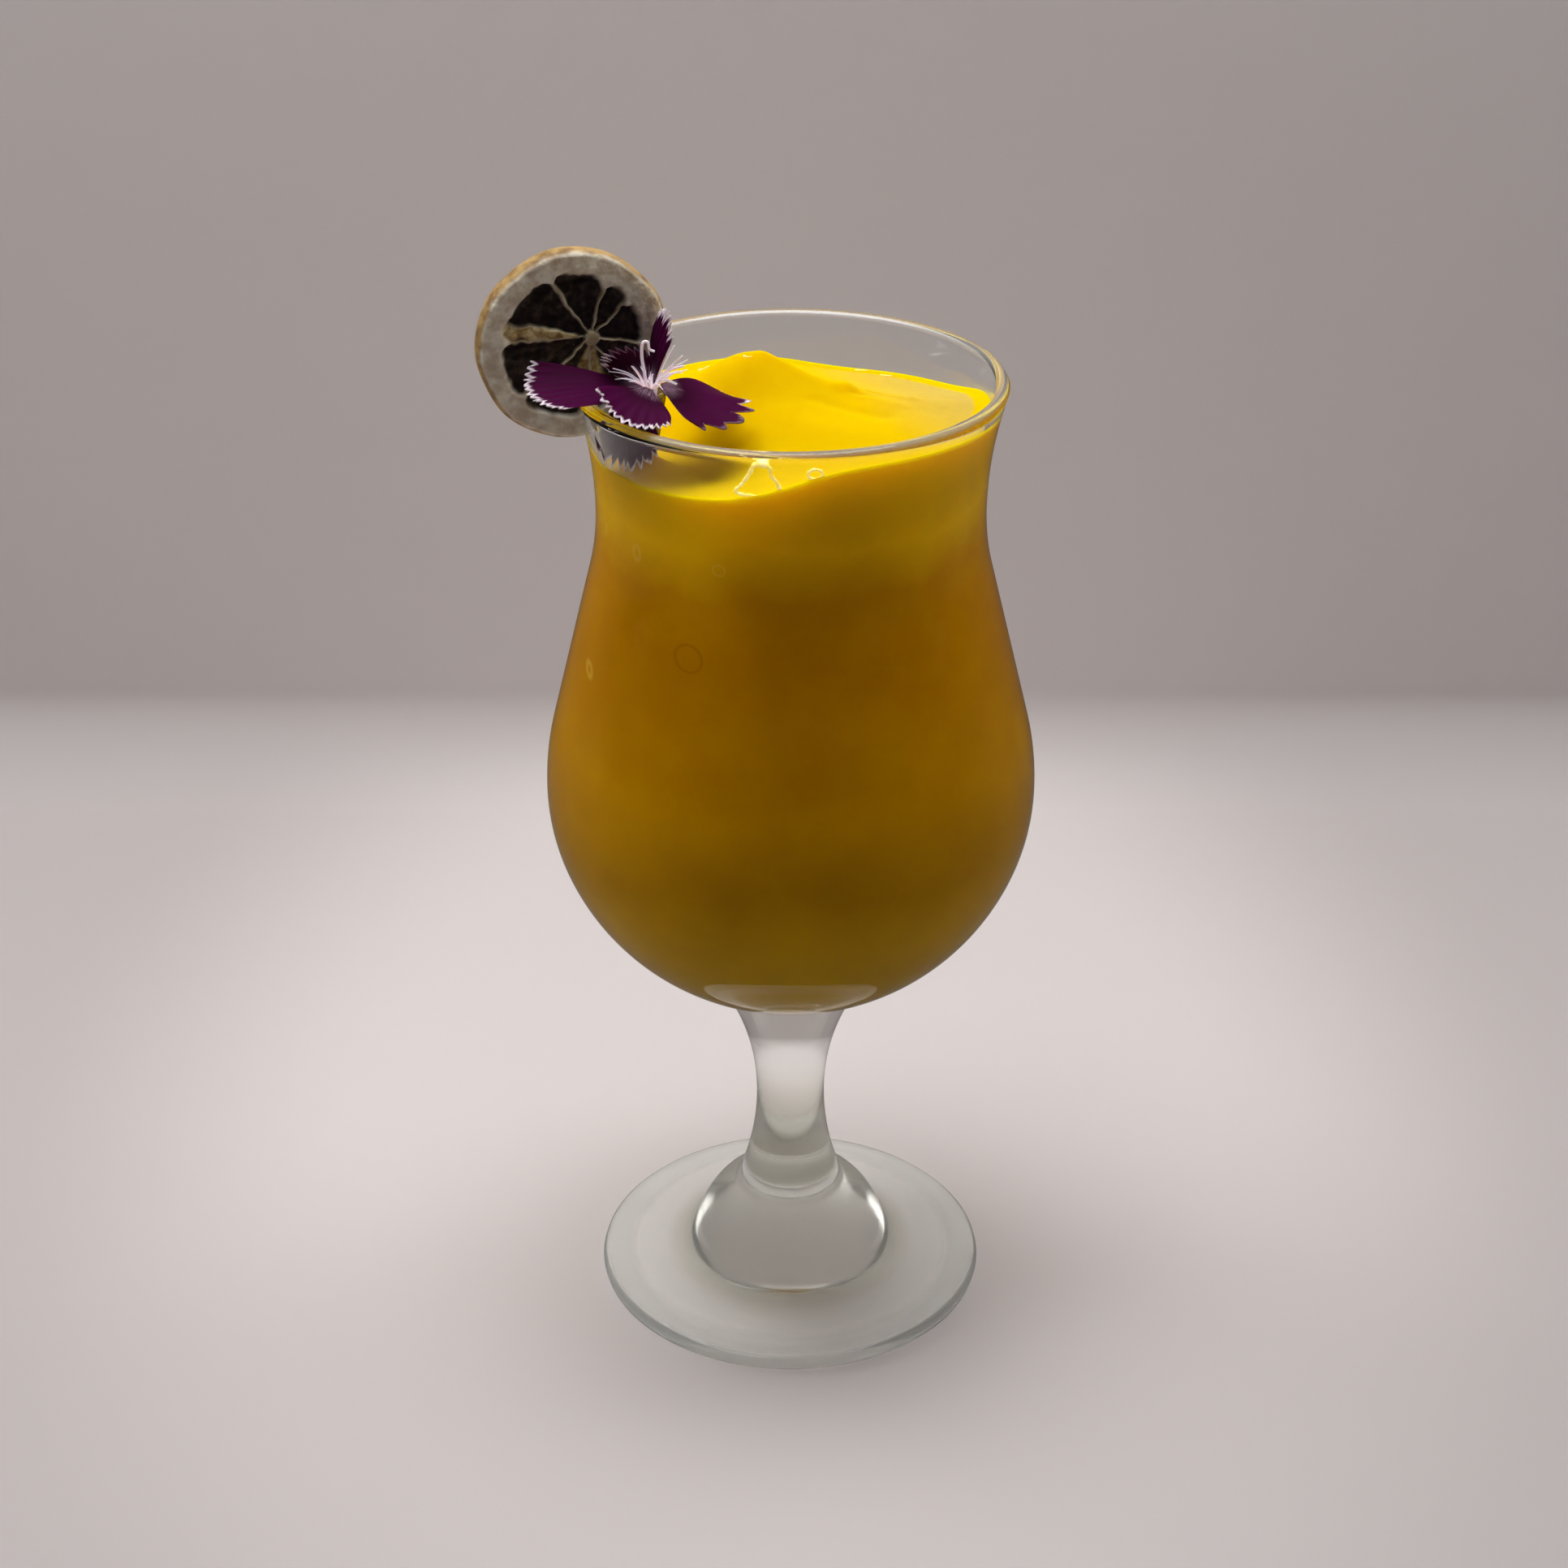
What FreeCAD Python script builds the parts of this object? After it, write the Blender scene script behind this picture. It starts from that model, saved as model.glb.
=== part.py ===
import FreeCAD, Part
import math
import os

import Sketcher
from FreeCAD import Placement, Rotation, Vector

# A frozen mango daiquiri in its footed tulip glass, millimetres, +Z up.
# The glass turns about the Z axis and stands on the plane Z = 0, with the origin at the centre of
# its foot. Angles round the glass are counted from +X towards +Y; the front of the drink is -Y.

doc = FreeCAD.newDocument("mango_daiquiri")

SIZES = {
    # The glass, from the table up.
    "glass_height": (175.0, "table to lip"),
    "wall": (2.2, "thickness of the bowl's wall"),
    "foot_radius": (35.3, "outside of the foot"),
    "foot_edge": (2.8, "height of the foot's rounded edge"),
    "foot_rise": (5.4, "height where the foot meets its dome"),
    "foot_fillet": (3.0, "blend between foot and dome"),
    "hollow_radius": (29.0, "inside of the ring that the glass stands on"),
    "hollow_depth": (1.2, "depth of the shallow hollow under the foot"),
    "dome_radius": (18.3, "round dome that carries the stem"),
    "dome_center": (3.1, "height of the dome's centre"),
    "knuckle_radius": (9.65, "crease between dome and stem"),
    "knuckle_fillet": (1.2, "blend at that crease"),
    "waist_radius": (6.15, "thinnest place of the stem"),
    "waist_height": (37.5, "height of that place"),
    "collar_radius": (14.2, "top of the stem, under the bowl"),
    "collar_fillet": (1.0, "blend between stem and bowl"),
    "bottom_height": (61.0, "underside of the bowl, where the stem hides it"),
    "belly_radius": (42.1, "widest place of the bowl"),
    "belly_shift": (4.1, "from the axis to the centre of the arc below the belly"),
    "bowl_flatness": (1.3, "how much less deep than a hemisphere the bowl's lower half is"),
    "flank_length": (29.0, "straight stretch between the arcs of shoulder and neck"),
    "neck_curve": (45.0, "radius that runs from the straight flank into the neck"),
    "neck_radius": (32.2, "narrowest place of the bowl"),
    "lip_length": (22.0, "height of the flared lip, from the neck up"),
    "rim_curve": (72.0, "radius of the curve that flares from neck to lip"),
    # The drink.
    "fill_gap": (0.05, "between the drink and the wall"),
    "level_drop": (5.7, "mean height of the surface at the wall, below the lip"),
    "level_tilt": (2.2, "how far the surface stands above the mean at its high side"),
    "level_azimuth": (-60.0, "direction of the high side"),
    "dip_depth": (5.4, "hollow beside the garnish"),
    "dip_reach": (23.0, "how far the hollow runs from its middle"),
    "dip_radius": (31.0, "distance of its middle from the axis"),
    "dip_azimuth": (230.0, "direction of its middle"),
    "heap_rise": (3.4, "slush heaped round the foot of the flower"),
    "heap_reach": (3.8, "how far that heap runs"),
    "peak_rise": (6.1, "top of the mound, above that level"),
    "peak_radius": (11.5, "distance of the peak from the axis"),
    "peak_azimuth": (120.0, "direction of the peak"),
    "peak_reach": (8.5, "how far the steep peak runs"),
    "mound_share": (0.55, "share of the mound that is its broad base"),
    "mound_reach": (15.0, "how far the broad base runs, twice as far on the right"),
    # The dried citrus wheel that sits astride the rim.
    "wheel_azimuth": (200.0, "where it sits on the rim"),
    "wheel_radius": (15.35, "mean outside of the rind"),
    "wheel_waviness": (0.3, "unevenness of the dried rind"),
    "wheel_thickness": (4.0, "across the rind"),
    "rind_fillet": (0.8, "rounded edges of the rind"),
    "wheel_rise": (9.7, "centre of the wheel above the lip"),
    "wheel_overhang": (2.2, "centre of the wheel outside the middle of the lip"),
    "pulp_radius": (11.6, "inside of the pith"),
    "pulp_depth": (1.1, "how far the dried pulp has sunk on each face"),
    "pulp_shift_out": (0.3, "pulp further from the glass than the rind"),
    "core_shift_in": (2.9, "core nearer the glass than the rind's centre"),
    "core_shift_up": (0.9, "core above the rind's centre"),
    "core_radius": (1.2, "hub where the membranes meet"),
    "membrane": (0.7, "thickness of the walls between the segments"),
    "slit_gap": (0.25, "between the slit and the wall of the glass"),
    "slit_drop": (14.0, "how far the cut runs below the lip"),
    # The flower, a fringed pink.
    "throat_inset": (6.6, "from the inside of the lip to the flower's throat"),
    "throat_beside": (6.2, "from the wheel's middle plane to the throat"),
    "throat_rise": (3.0, "height of the throat above the lip"),
    "calyx_length": (11.5, "green tube under the petals"),
    "calyx_mouth": (2.6, "its radius at the mouth"),
    "calyx_base": (1.9, "its radius at the foot"),
    "calyx_wall": (0.5, "its thickness at the mouth"),
    "calyx_depth": (3.0, "how deep the mouth is hollow"),
    "calyx_lean": (7.0, "lean of the flower from upright"),
    "calyx_lean_azimuth": (330.0, "direction that the flower leans to"),
    "calyx_teeth": (5, "points round the mouth"),
    "tooth_cut": (1.3, "depth of the notches between the points"),
    "petal_thickness": (0.4, "of every petal"),
    "petal_seat": (0.3, "between a petal's claw and the calyx"),
    "claw_width": (1.3, "narrow foot of a petal"),
    "fringe_teeth": (11, "teeth on the outer edge of a petal"),
    "fringe_depth": (1.3, "depth of those teeth"),
    "tucked_azimuth": (197.6, "side of the calyx where the tucked petal starts"),
    "tucked_gap": (0.8, "between the calyx and that petal's foot"),
    "style_radius": (0.22, "of each white thread"),
}

# Each petal: direction, rise and roll in degrees, then length, width, droop and cupping, and
# how much longer its left side is than its middle, as a share. The tucked one points down.
PETALS = {
    "petal_left": (210.9, 12.6, -18.4, 19.1, 13.1, 2.8, 2.3, -0.02),
    "petal_front": (259.5, -1.7, -23.8, 12.2, 12.2, 1.7, 2.4, -0.08),
    "petal_right": (8.6, -31.4, 10.8, 14.0, 17.0, -3.3, -3.5, 0.22),
    "petal_upright": (84.7, 102.8, 112.4, 11.8, 9.0, -3.4, -0.1, 0.03),
    "petal_back": (144.6, 64.6, -71.9, 7.2, 8.6, -7.0, -0.9, -0.02),
    "petal_tucked": (219.2, -95.5, -18.6, 10.1, 9.4, -1.8, -1.2, -0.07),
}

# Each style: the points that it passes, as steps from the middle of the throat.
STYLES = {
    "style_tall": ((-0.5, -0.3, -2.5), (-0.75, -1.1, 2.3), (-0.8, -2.9, 8.6), (-0.2, -2.4, 7.8)),
    "style_right": ((0.6, 0.2, -2.5), (1.2, -0.2, 1.6), (3.1, -0.4, 3.2), (5.3, -0.5, 3.9)),
    "style_short": ((0.7, -0.6, -2.5), (1.0, -0.9, 1.0), (2.4, -1.4, 1.9), (4.2, -1.9, 1.4)),
}

sheet = doc.addObject("Spreadsheet::Sheet", "sizes")
for row, (alias, (value, note)) in enumerate(SIZES.items(), start=1):
    sheet.set(f"A{row}", alias)
    sheet.set(f"B{row}", str(value))
    sheet.set(f"C{row}", note)
    sheet.setAlias(f"B{row}", alias)
doc.recompute()


def cell(alias):
    """The expression that reads one size."""
    return f"sizes.{alias}"


def size(alias):
    """The number in one cell."""
    return float(sheet.get(alias))


def polar(radius, azimuth, height):
    """A point at this distance and direction from the glass's axis."""
    turn = math.radians(azimuth)
    return Vector(radius * math.cos(turn), radius * math.sin(turn), height)


# ---------------------------------------------------------------------------------------------
# Profiles: closed outlines in the XZ plane, turned about the Z axis
# ---------------------------------------------------------------------------------------------


def arc_between(start, end, radius, turn):
    """The arc from start to end, turning left (+1) or right (-1) as it goes."""
    chord = end - start
    half = chord.Length / 2
    inward = Vector(-chord.y, chord.x, 0).normalize() * turn
    center = (start + end) / 2 + inward * math.sqrt(max(radius**2 - half**2, 0))
    first, last = (start, end) if turn > 0 else (end, start)
    from_angle = math.atan2(first.y - center.y, first.x - center.x)
    to_angle = math.atan2(last.y - center.y, last.x - center.x)
    circle = Part.Circle(center, Vector(0, 0, 1), radius)
    return Part.ArcOfCircle(circle, from_angle, to_angle)


def profile_sketch(body, name, corners, sides):
    """Draw a closed outline whose corners and arc radii all stay bound to expressions.

    corners holds (name, radius, height); sides holds, for the side that follows each corner,
    None for a straight one or (radius, turn) for an arc.
    """
    sketch = body.newObject("Sketcher::SketchObject", name)
    plane = next(f for f in body.Origin.OriginFeatures if f.Role == "XZ_Plane")
    sketch.AttachmentSupport = (plane, "")
    sketch.MapMode = "FlatFace"

    def number(expression):
        return float(sketch.evalExpression(str(expression)))

    def bind(constraint, label, expression):
        index = sketch.addConstraint(constraint)
        sketch.renameConstraint(index, label)
        sketch.setExpression(f"Constraints.{label}", str(expression))

    points = [Vector(number(across), number(up), 0) for _, across, up in corners]
    starts, ends = [], []
    for index, side in enumerate(sides):
        here, there = points[index], points[(index + 1) % len(points)]
        if side is None:
            geometry = sketch.addGeometry(Part.LineSegment(here, there), False)
            starts.append((geometry, 1))
            ends.append((geometry, 2))
            continue
        radius, turn = side
        arc = arc_between(here, there, number(radius), turn)
        geometry = sketch.addGeometry(arc, False)
        starts.append((geometry, 1 if turn > 0 else 2))
        ends.append((geometry, 2 if turn > 0 else 1))
    for index in range(len(sides)):
        joint = (*ends[index], *starts[(index + 1) % len(sides)])
        sketch.addConstraint(Sketcher.Constraint("Coincident", *joint))
    for (label, across, up), point, start in zip(corners, points, starts):
        if point.x == 0:
            sketch.addConstraint(Sketcher.Constraint("PointOnObject", *start, -2))
        else:
            distance = Sketcher.Constraint("DistanceX", -1, 1, *start, point.x)
            bind(distance, f"{label}_across", across)
        if point.y == 0:
            sketch.addConstraint(Sketcher.Constraint("PointOnObject", *start, -1))
        else:
            distance = Sketcher.Constraint("DistanceY", -1, 1, *start, point.y)
            bind(distance, f"{label}_up", up)
    for (label, _, _), side, start in zip(corners, sides, starts):
        if side is not None:
            radius = Sketcher.Constraint("Radius", start[0], number(side[0]))
            bind(radius, f"{label}_arc", side[0])
    doc.recompute()
    return sketch


def turned_body(label, corners, sides):
    """A body made by turning one outline about its upright axis."""
    body = doc.addObject("PartDesign::Body", label)
    sketch = profile_sketch(body, f"{label}_profile", corners, sides)
    turning = body.newObject("PartDesign::Revolution", f"{label}_turned")
    turning.Profile = sketch
    turning.ReferenceAxis = (sketch, ["V_Axis"])
    turning.Angle = 360
    sketch.Visibility = False
    doc.recompute()
    return body, turning


def fillet_crease(body, base, name, radius_alias, across, up):
    """Round the circular edge of base that lies at this radius and height."""
    for number, edge in enumerate(base.Shape.Edges, start=1):
        if edge.Degenerated or not isinstance(edge.Curve, Part.Circle):
            continue
        ring = edge.Curve
        if abs(ring.Radius - across) < 0.01 and abs(ring.Center.z - up) < 0.01:
            break
    else:
        raise RuntimeError(f"{name}: no crease at radius {across:.2f}, height {up:.2f}")
    fillet = body.newObject("PartDesign::Fillet", name)
    fillet.Base = (base, [f"Edge{number}"])
    fillet.setExpression("Radius", cell(radius_alias))
    doc.recompute()
    return fillet


# ---------------------------------------------------------------------------------------------
# Glass
# ---------------------------------------------------------------------------------------------

LEFT, RIGHT = 1, -1

# The bowl's outline is a run of arcs and one straight flank, each tangent to the next: a flat
# round bottom, the side below the belly, the shoulder above it, the flank, and the flared neck.
# The inside runs parallel to it, so each joint is worked out for any inset from the outside.
side_shift = cell("belly_shift")
belly_curve = f"({cell('belly_radius')} - {side_shift})"
side_rise = f"({cell('belly_radius')} - {cell('bowl_flatness')})"
belly_up = f"({cell('bottom_height')} + {side_rise})"
bottom_curve = (
    f"(({side_rise}^2 + {side_shift}^2 - {belly_curve}^2) / (2 * ({side_rise} - {belly_curve})))"
)
bottom_center = f"({cell('bottom_height')} + {bottom_curve})"
neck_up = f"({cell('glass_height')} - {cell('lip_length')})"
narrowing = f"({cell('belly_radius')} - {cell('neck_radius')})"
climb = f"({neck_up} - {belly_up})"
curves = f"(({climb}^2 + {narrowing}^2 - {cell('flank_length')}^2) / (2 * {narrowing}))"
shoulder_curve = f"({curves} - {cell('neck_curve')})"
shoulder_across = f"({cell('belly_radius')} - {shoulder_curve})"
neck_across = f"({cell('neck_radius')} + {cell('neck_curve')})"
rim_across = f"({cell('neck_radius')} + {cell('rim_curve')})"
lip_up = f"({cell('glass_height')} - {cell('wall')} / 2)"


def bowl_side(inset):
    """Where the flat bottom meets the side below the belly."""
    share = f"(({bottom_curve} - {inset}) / ({bottom_curve} - {belly_curve}))"
    across = f"{side_shift} * {share}"
    up = f"{bottom_center} + ({belly_up} - {bottom_center}) * {share}"
    return across, up


def flank_ends(inset):
    """The two ends of the straight flank, which touches the shoulder's arc and the neck's."""
    over = f"({neck_across} - {shoulder_across})"
    flank = cell("flank_length")
    apart = f"({over}^2 + {climb}^2)"
    out = f"(({over} * {curves} + {climb} * {flank}) / {apart})"
    up = f"(({climb} * {curves} - {over} * {flank}) / {apart})"
    shoulder, neck = f"({shoulder_curve} - {inset})", f"({cell('neck_curve')} + {inset})"
    low = (f"{shoulder_across} + {shoulder} * {out}", f"{belly_up} + {shoulder} * {up}")
    high = (f"{neck_across} - {neck} * {out}", f"{neck_up} - {neck} * {up}")
    return low, high


def rim_radius(inset, height):
    """Radius of the flare above the neck, inset from the outside, at this height."""
    curve = f"({cell('rim_curve')} + {inset})"
    return f"({rim_across} - sqrt({curve}^2 - ({height} - {neck_up})^2))"


def worked_out(expression):
    """The number that an expression comes to."""
    return float(sheet.evalExpression(expression))


def flare_radius(across, up):
    """Radius of the stem's curve that is upright at the waist and passes through this point."""
    step = f"({across} - {cell('waist_radius')})"
    rise = f"({up} - {cell('waist_height')})"
    return f"({step}^2 + {rise}^2) / (2 * {step})"


def glass_body():
    """One piece of pressed glass: foot, dome, stem and bowl."""
    wall = cell("wall")
    edge = f"({cell('foot_edge')} / 2)"
    edge_across = f"{cell('foot_radius')} - {edge}"
    dome = cell("dome_radius")
    foot_rise = cell("foot_rise")
    dome_foot = f"sqrt({dome}^2 - ({foot_rise} - {cell('dome_center')})^2)"
    knuckle = cell("knuckle_radius")
    knuckle_up = f"({cell('dome_center')} + sqrt({dome}^2 - {knuckle}^2))"
    collar = cell("collar_radius")
    collar_up = f"({bottom_center} - sqrt({bottom_curve}^2 - {collar}^2))"
    belly = cell("belly_radius")
    flank_low, flank_high = flank_ends("0")
    inside_low, inside_high = flank_ends(wall)
    lip_outside, lip_inside = rim_radius("0", lip_up), rim_radius(wall, lip_up)
    lip_chord = f"({lip_outside} - {lip_inside})"
    lip_radius = f"({lip_chord}^2 / 4 + ({wall} / 2)^2) / {wall}"
    hollow, depth = cell("hollow_radius"), cell("hollow_depth")
    corners = [
        ("hollow_middle", "0", depth),
        ("hollow_edge", hollow, "0"),
        ("foot_under", edge_across, "0"),
        ("foot_outside", cell("foot_radius"), edge),
        ("foot_over", edge_across, cell("foot_edge")),
        ("dome_foot", dome_foot, foot_rise),
        ("knuckle", knuckle, knuckle_up),
        ("waist", cell("waist_radius"), cell("waist_height")),
        ("collar", collar, collar_up),
        ("side", *bowl_side("0")),
        ("belly", belly, belly_up),
        ("shoulder", *flank_low),
        ("flank", *flank_high),
        ("neck", cell("neck_radius"), neck_up),
        ("lip_outside", lip_outside, lip_up),
        ("lip_inside", lip_inside, lip_up),
        ("neck_inside", f"{cell('neck_radius')} - {wall}", neck_up),
        ("flank_inside", *inside_high),
        ("shoulder_inside", *inside_low),
        ("belly_inside", f"{belly} - {wall}", belly_up),
        ("side_inside", *bowl_side(wall)),
        ("floor", "0", f"{cell('bottom_height')} + {wall}"),
    ]
    sides = [
        (f"({hollow}^2 + {depth}^2) / (2 * {depth})", RIGHT),
        None,
        (edge, LEFT),
        (edge, LEFT),
        None,
        (dome, LEFT),
        (flare_radius(knuckle, knuckle_up), RIGHT),
        (flare_radius(collar, collar_up), RIGHT),
        (bottom_curve, LEFT),
        (belly_curve, LEFT),
        (shoulder_curve, LEFT),
        None,
        (cell("neck_curve"), RIGHT),
        (cell("rim_curve"), RIGHT),
        (lip_radius, LEFT),
        (f"{cell('rim_curve')} + {wall}", LEFT),
        (f"{cell('neck_curve')} + {wall}", LEFT),
        None,
        (f"{shoulder_curve} - {wall}", RIGHT),
        (f"{belly_curve} - {wall}", RIGHT),
        (f"{bottom_curve} - {wall}", RIGHT),
        None,
    ]
    body, shape = turned_body("glass", corners, sides)
    creases = [
        ("foot_blend", "foot_fillet", dome_foot, foot_rise),
        ("knuckle_blend", "knuckle_fillet", knuckle, knuckle_up),
        ("collar_blend", "collar_fillet", collar, collar_up),
    ]
    for name, alias, across, up in creases:
        radius, height = worked_out(across), worked_out(up)
        shape = fillet_crease(body, shape, name, alias, radius, height)
    body.Tip = shape
    return body


# ---------------------------------------------------------------------------------------------
# Drink
# ---------------------------------------------------------------------------------------------

GRID_STEPS = 24  # squares along each side of the net that carries the surface

# The drink is filled to a level under the lip, and the flower's throat stands just inside it.
level_height = size("glass_height") - size("level_drop")
throat_across = worked_out(rim_radius(cell("wall"), lip_up)) - size("throat_inset")
throat_height = size("glass_height") + size("throat_rise")
throat_turn = math.degrees(math.asin(size("throat_beside") / throat_across))
throat_place = polar(throat_across, size("wheel_azimuth") + throat_turn, throat_height)


def surface_height(x, y):
    """Height of the frozen drink: a tilted level, a dip by the garnish and a spooned mound."""
    high_side = polar(1, size("level_azimuth"), 0)
    reach = size("neck_radius") - size("wall")
    along = (x * high_side.x + y * high_side.y) / reach
    height = level_height + size("level_tilt") * along
    dip = polar(size("dip_radius"), size("dip_azimuth"), 0)
    from_dip = math.hypot(x - dip.x, y - dip.y) / size("dip_reach")
    height -= size("dip_depth") * math.exp(-(from_dip**4))
    from_heap = math.hypot(x - throat_place.x, y - throat_place.y) / size("heap_reach")
    height += size("heap_rise") * math.exp(-(from_heap**2))
    peak = polar(size("peak_radius"), size("peak_azimuth"), 0)
    peak_along = (peak.x * high_side.x + peak.y * high_side.y) / reach
    rise = size("peak_rise") - size("level_tilt") * peak_along
    broad = size("mound_share")
    right, back = x - peak.x, y - peak.y
    stretch = 1 + 0.5 * (1 + math.tanh(right / size("peak_reach")))
    wide = (right / stretch) ** 2 + back**2
    height += rise * broad * math.exp(-wide / size("mound_reach") ** 2)
    height += rise * (1 - broad) * math.exp(-(right**2 + back**2) / size("peak_reach") ** 2)
    return height


def surface_block():
    """Everything below the drink's surface, as one block wider than the bowl."""
    half = size("belly_radius") + 2
    steps = [half * (2 * i / GRID_STEPS - 1) for i in range(GRID_STEPS + 1)]
    net = [[Vector(x, y, surface_height(x, y)) for y in steps] for x in steps]
    surface = Part.BSplineSurface()
    surface.interpolate(net)
    down = Vector(0, 0, -size("glass_height"))
    return surface.toShape().extrude(down)


def drink_parts(calyx):
    """The drink fills the bowl up to its uneven surface and closes round the flower's foot."""
    inset = f"({cell('wall')} + {cell('fill_gap')})"
    flank_low, flank_high = flank_ends(inset)
    above = f"{cell('glass_height')} + {cell('wheel_rise')}"
    brim = rim_radius(inset, lip_up)
    corners = [
        ("floor", "0", f"{cell('bottom_height')} + {inset}"),
        ("side", *bowl_side(inset)),
        ("belly", f"{cell('belly_radius')} - {inset}", belly_up),
        ("shoulder", *flank_low),
        ("flank", *flank_high),
        ("neck", f"{cell('neck_radius')} - {inset}", neck_up),
        ("brim", brim, lip_up),
        ("above_brim", brim, above),
        ("above_middle", "0", above),
    ]
    sides = [
        (f"{bottom_curve} - {inset}", LEFT),
        (f"{belly_curve} - {inset}", LEFT),
        (f"{shoulder_curve} - {inset}", LEFT),
        None,
        (f"{cell('neck_curve')} + {inset}", RIGHT),
        (f"{cell('rim_curve')} + {inset}", RIGHT),
        None,
        None,
        None,
    ]
    fill, _ = turned_body("bowl_inside", corners, sides)
    block = doc.addObject("Part::Feature", "below_surface")
    block.Shape = surface_block()
    level = doc.addObject("Part::Common", "filled_to_level")
    level.Base, level.Tool = fill, block
    socket = doc.addObject("Part::Cylinder", "calyx_socket")
    socket.setExpression("Radius", f"{cell('calyx_mouth')} + {cell('fill_gap')}")
    socket.setExpression("Height", cell("calyx_length"))
    socket.Placement = calyx.Placement
    drink = doc.addObject("Part::Cut", "daiquiri")
    drink.Base, drink.Tool = level, socket
    return drink


# ---------------------------------------------------------------------------------------------
# Dried citrus wheel
# ---------------------------------------------------------------------------------------------

# Directions of the eight membranes, from the side away from the glass, uneven as they grew.
MEMBRANES = (4.0, 57.3, 104.0, 138.0, 192.5, 240.0, 279.0, 323.5)
RIND_POINTS = 36


def wheel_frame():
    """The wheel's own frame: x away from the glass, y up, standing astride the lip."""
    lip_middle = worked_out(f"({rim_radius('0', lip_up)} + {rim_radius(cell('wall'), lip_up)}) / 2")
    across = lip_middle + size("wheel_overhang")
    height = size("glass_height") + size("wheel_rise")
    upright = Rotation(Vector(0, 0, 1), size("wheel_azimuth")) * Rotation(Vector(1, 0, 0), 90)
    return Placement(polar(across, size("wheel_azimuth"), height), upright)


def rind_disc():
    """The whole slice, with the wavy outline of a dried rind."""
    outline = []
    for step in range(RIND_POINTS):
        turn = 2 * math.pi * step / RIND_POINTS
        waves = math.sin(2 * turn + 0.6) + 0.6 * math.sin(5 * turn) + 0.5 * math.sin(9 * turn + 2)
        radius = size("wheel_radius") + size("wheel_waviness") * waves / 2
        outline.append(Vector(radius * math.cos(turn), radius * math.sin(turn), 0))
    curve = Part.BSplineCurve()
    curve.interpolate(outline, PeriodicFlag=True)
    half = size("wheel_thickness") / 2
    face = Part.Face(Part.Wire(curve.toShape()))
    face.translate(Vector(0, 0, -half))
    return face.extrude(Vector(0, 0, 2 * half))


def segment_windows():
    """The sunken pulp of one face: a sector between each two membranes, round the core."""
    sectors = []
    for here, there in zip(MEMBRANES, MEMBRANES[1:] + (MEMBRANES[0] + 360,)):
        opening = math.radians(there - here)
        sector = doc.addObject("Part::Cylinder", "segment")
        sector.setExpression("Radius", f"2 * {cell('pulp_radius')}")
        sector.setExpression("Height", f"{cell('wheel_thickness')}")
        sector.Angle = there - here
        apart = size("membrane") / 2 / math.sin(opening / 2)
        middle = math.radians((here + there) / 2)
        apex = Vector(
            apart * math.cos(middle) - size("core_shift_in"),
            apart * math.sin(middle) + size("core_shift_up"),
            size("wheel_thickness") / 2 - size("pulp_depth"),
        )
        sector.Placement = Placement(apex, Rotation(Vector(0, 0, 1), here))
        sectors.append(sector)
    segments = doc.addObject("Part::MultiFuse", "segments")
    segments.Shapes = sectors
    pith = doc.addObject("Part::Cylinder", "inside_of_pith")
    pith.setExpression("Radius", cell("pulp_radius"))
    pith.setExpression("Height", f"2 * {cell('wheel_thickness')}")
    pith.Placement.Base = Vector(size("pulp_shift_out"), 0, -size("wheel_thickness"))
    inside = doc.addObject("Part::Common", "segments_in_pith")
    inside.Base, inside.Tool = segments, pith
    core = doc.addObject("Part::Cylinder", "core")
    core.setExpression("Radius", cell("core_radius"))
    core.setExpression("Height", f"2 * {cell('wheel_thickness')}")
    core.Placement.Base = Vector(
        -size("core_shift_in"), size("core_shift_up"), -size("wheel_thickness")
    )
    windows = doc.addObject("Part::Cut", "windows")
    windows.Base, windows.Tool = inside, core
    return windows


def rim_slit():
    """The cut that takes the rim: the wall's own section with a gap round it, cut across."""
    outside, inside = f"(0 - {cell('slit_gap')})", f"({cell('wall')} + {cell('slit_gap')})"
    low = f"({cell('glass_height')} - {cell('slit_drop')})"
    high = f"({cell('glass_height')} + {cell('slit_gap')})"
    corners = [
        ("outside_low", rim_radius(outside, low), low),
        ("outside_high", rim_radius(outside, high), high),
        ("inside_high", rim_radius(inside, high), high),
        ("inside_low", rim_radius(inside, low), low),
    ]
    curve = cell("rim_curve")
    sides = [
        (f"{curve} + {outside}", RIGHT),
        None,
        (f"{curve} + {inside}", LEFT),
        None,
    ]
    slit = doc.addObject("PartDesign::Body", "rim_slit")
    sketch = profile_sketch(slit, "rim_slit_profile", corners, sides)
    across = slit.newObject("PartDesign::Pad", "rim_slit_across")
    across.Profile = sketch
    across.Midplane = True
    across.setExpression("Length", f"2 * {cell('wheel_thickness')}")
    slit.Placement = Placement(Vector(), Rotation(Vector(0, 0, 1), size("wheel_azimuth")))
    doc.recompute()
    return slit


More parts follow.
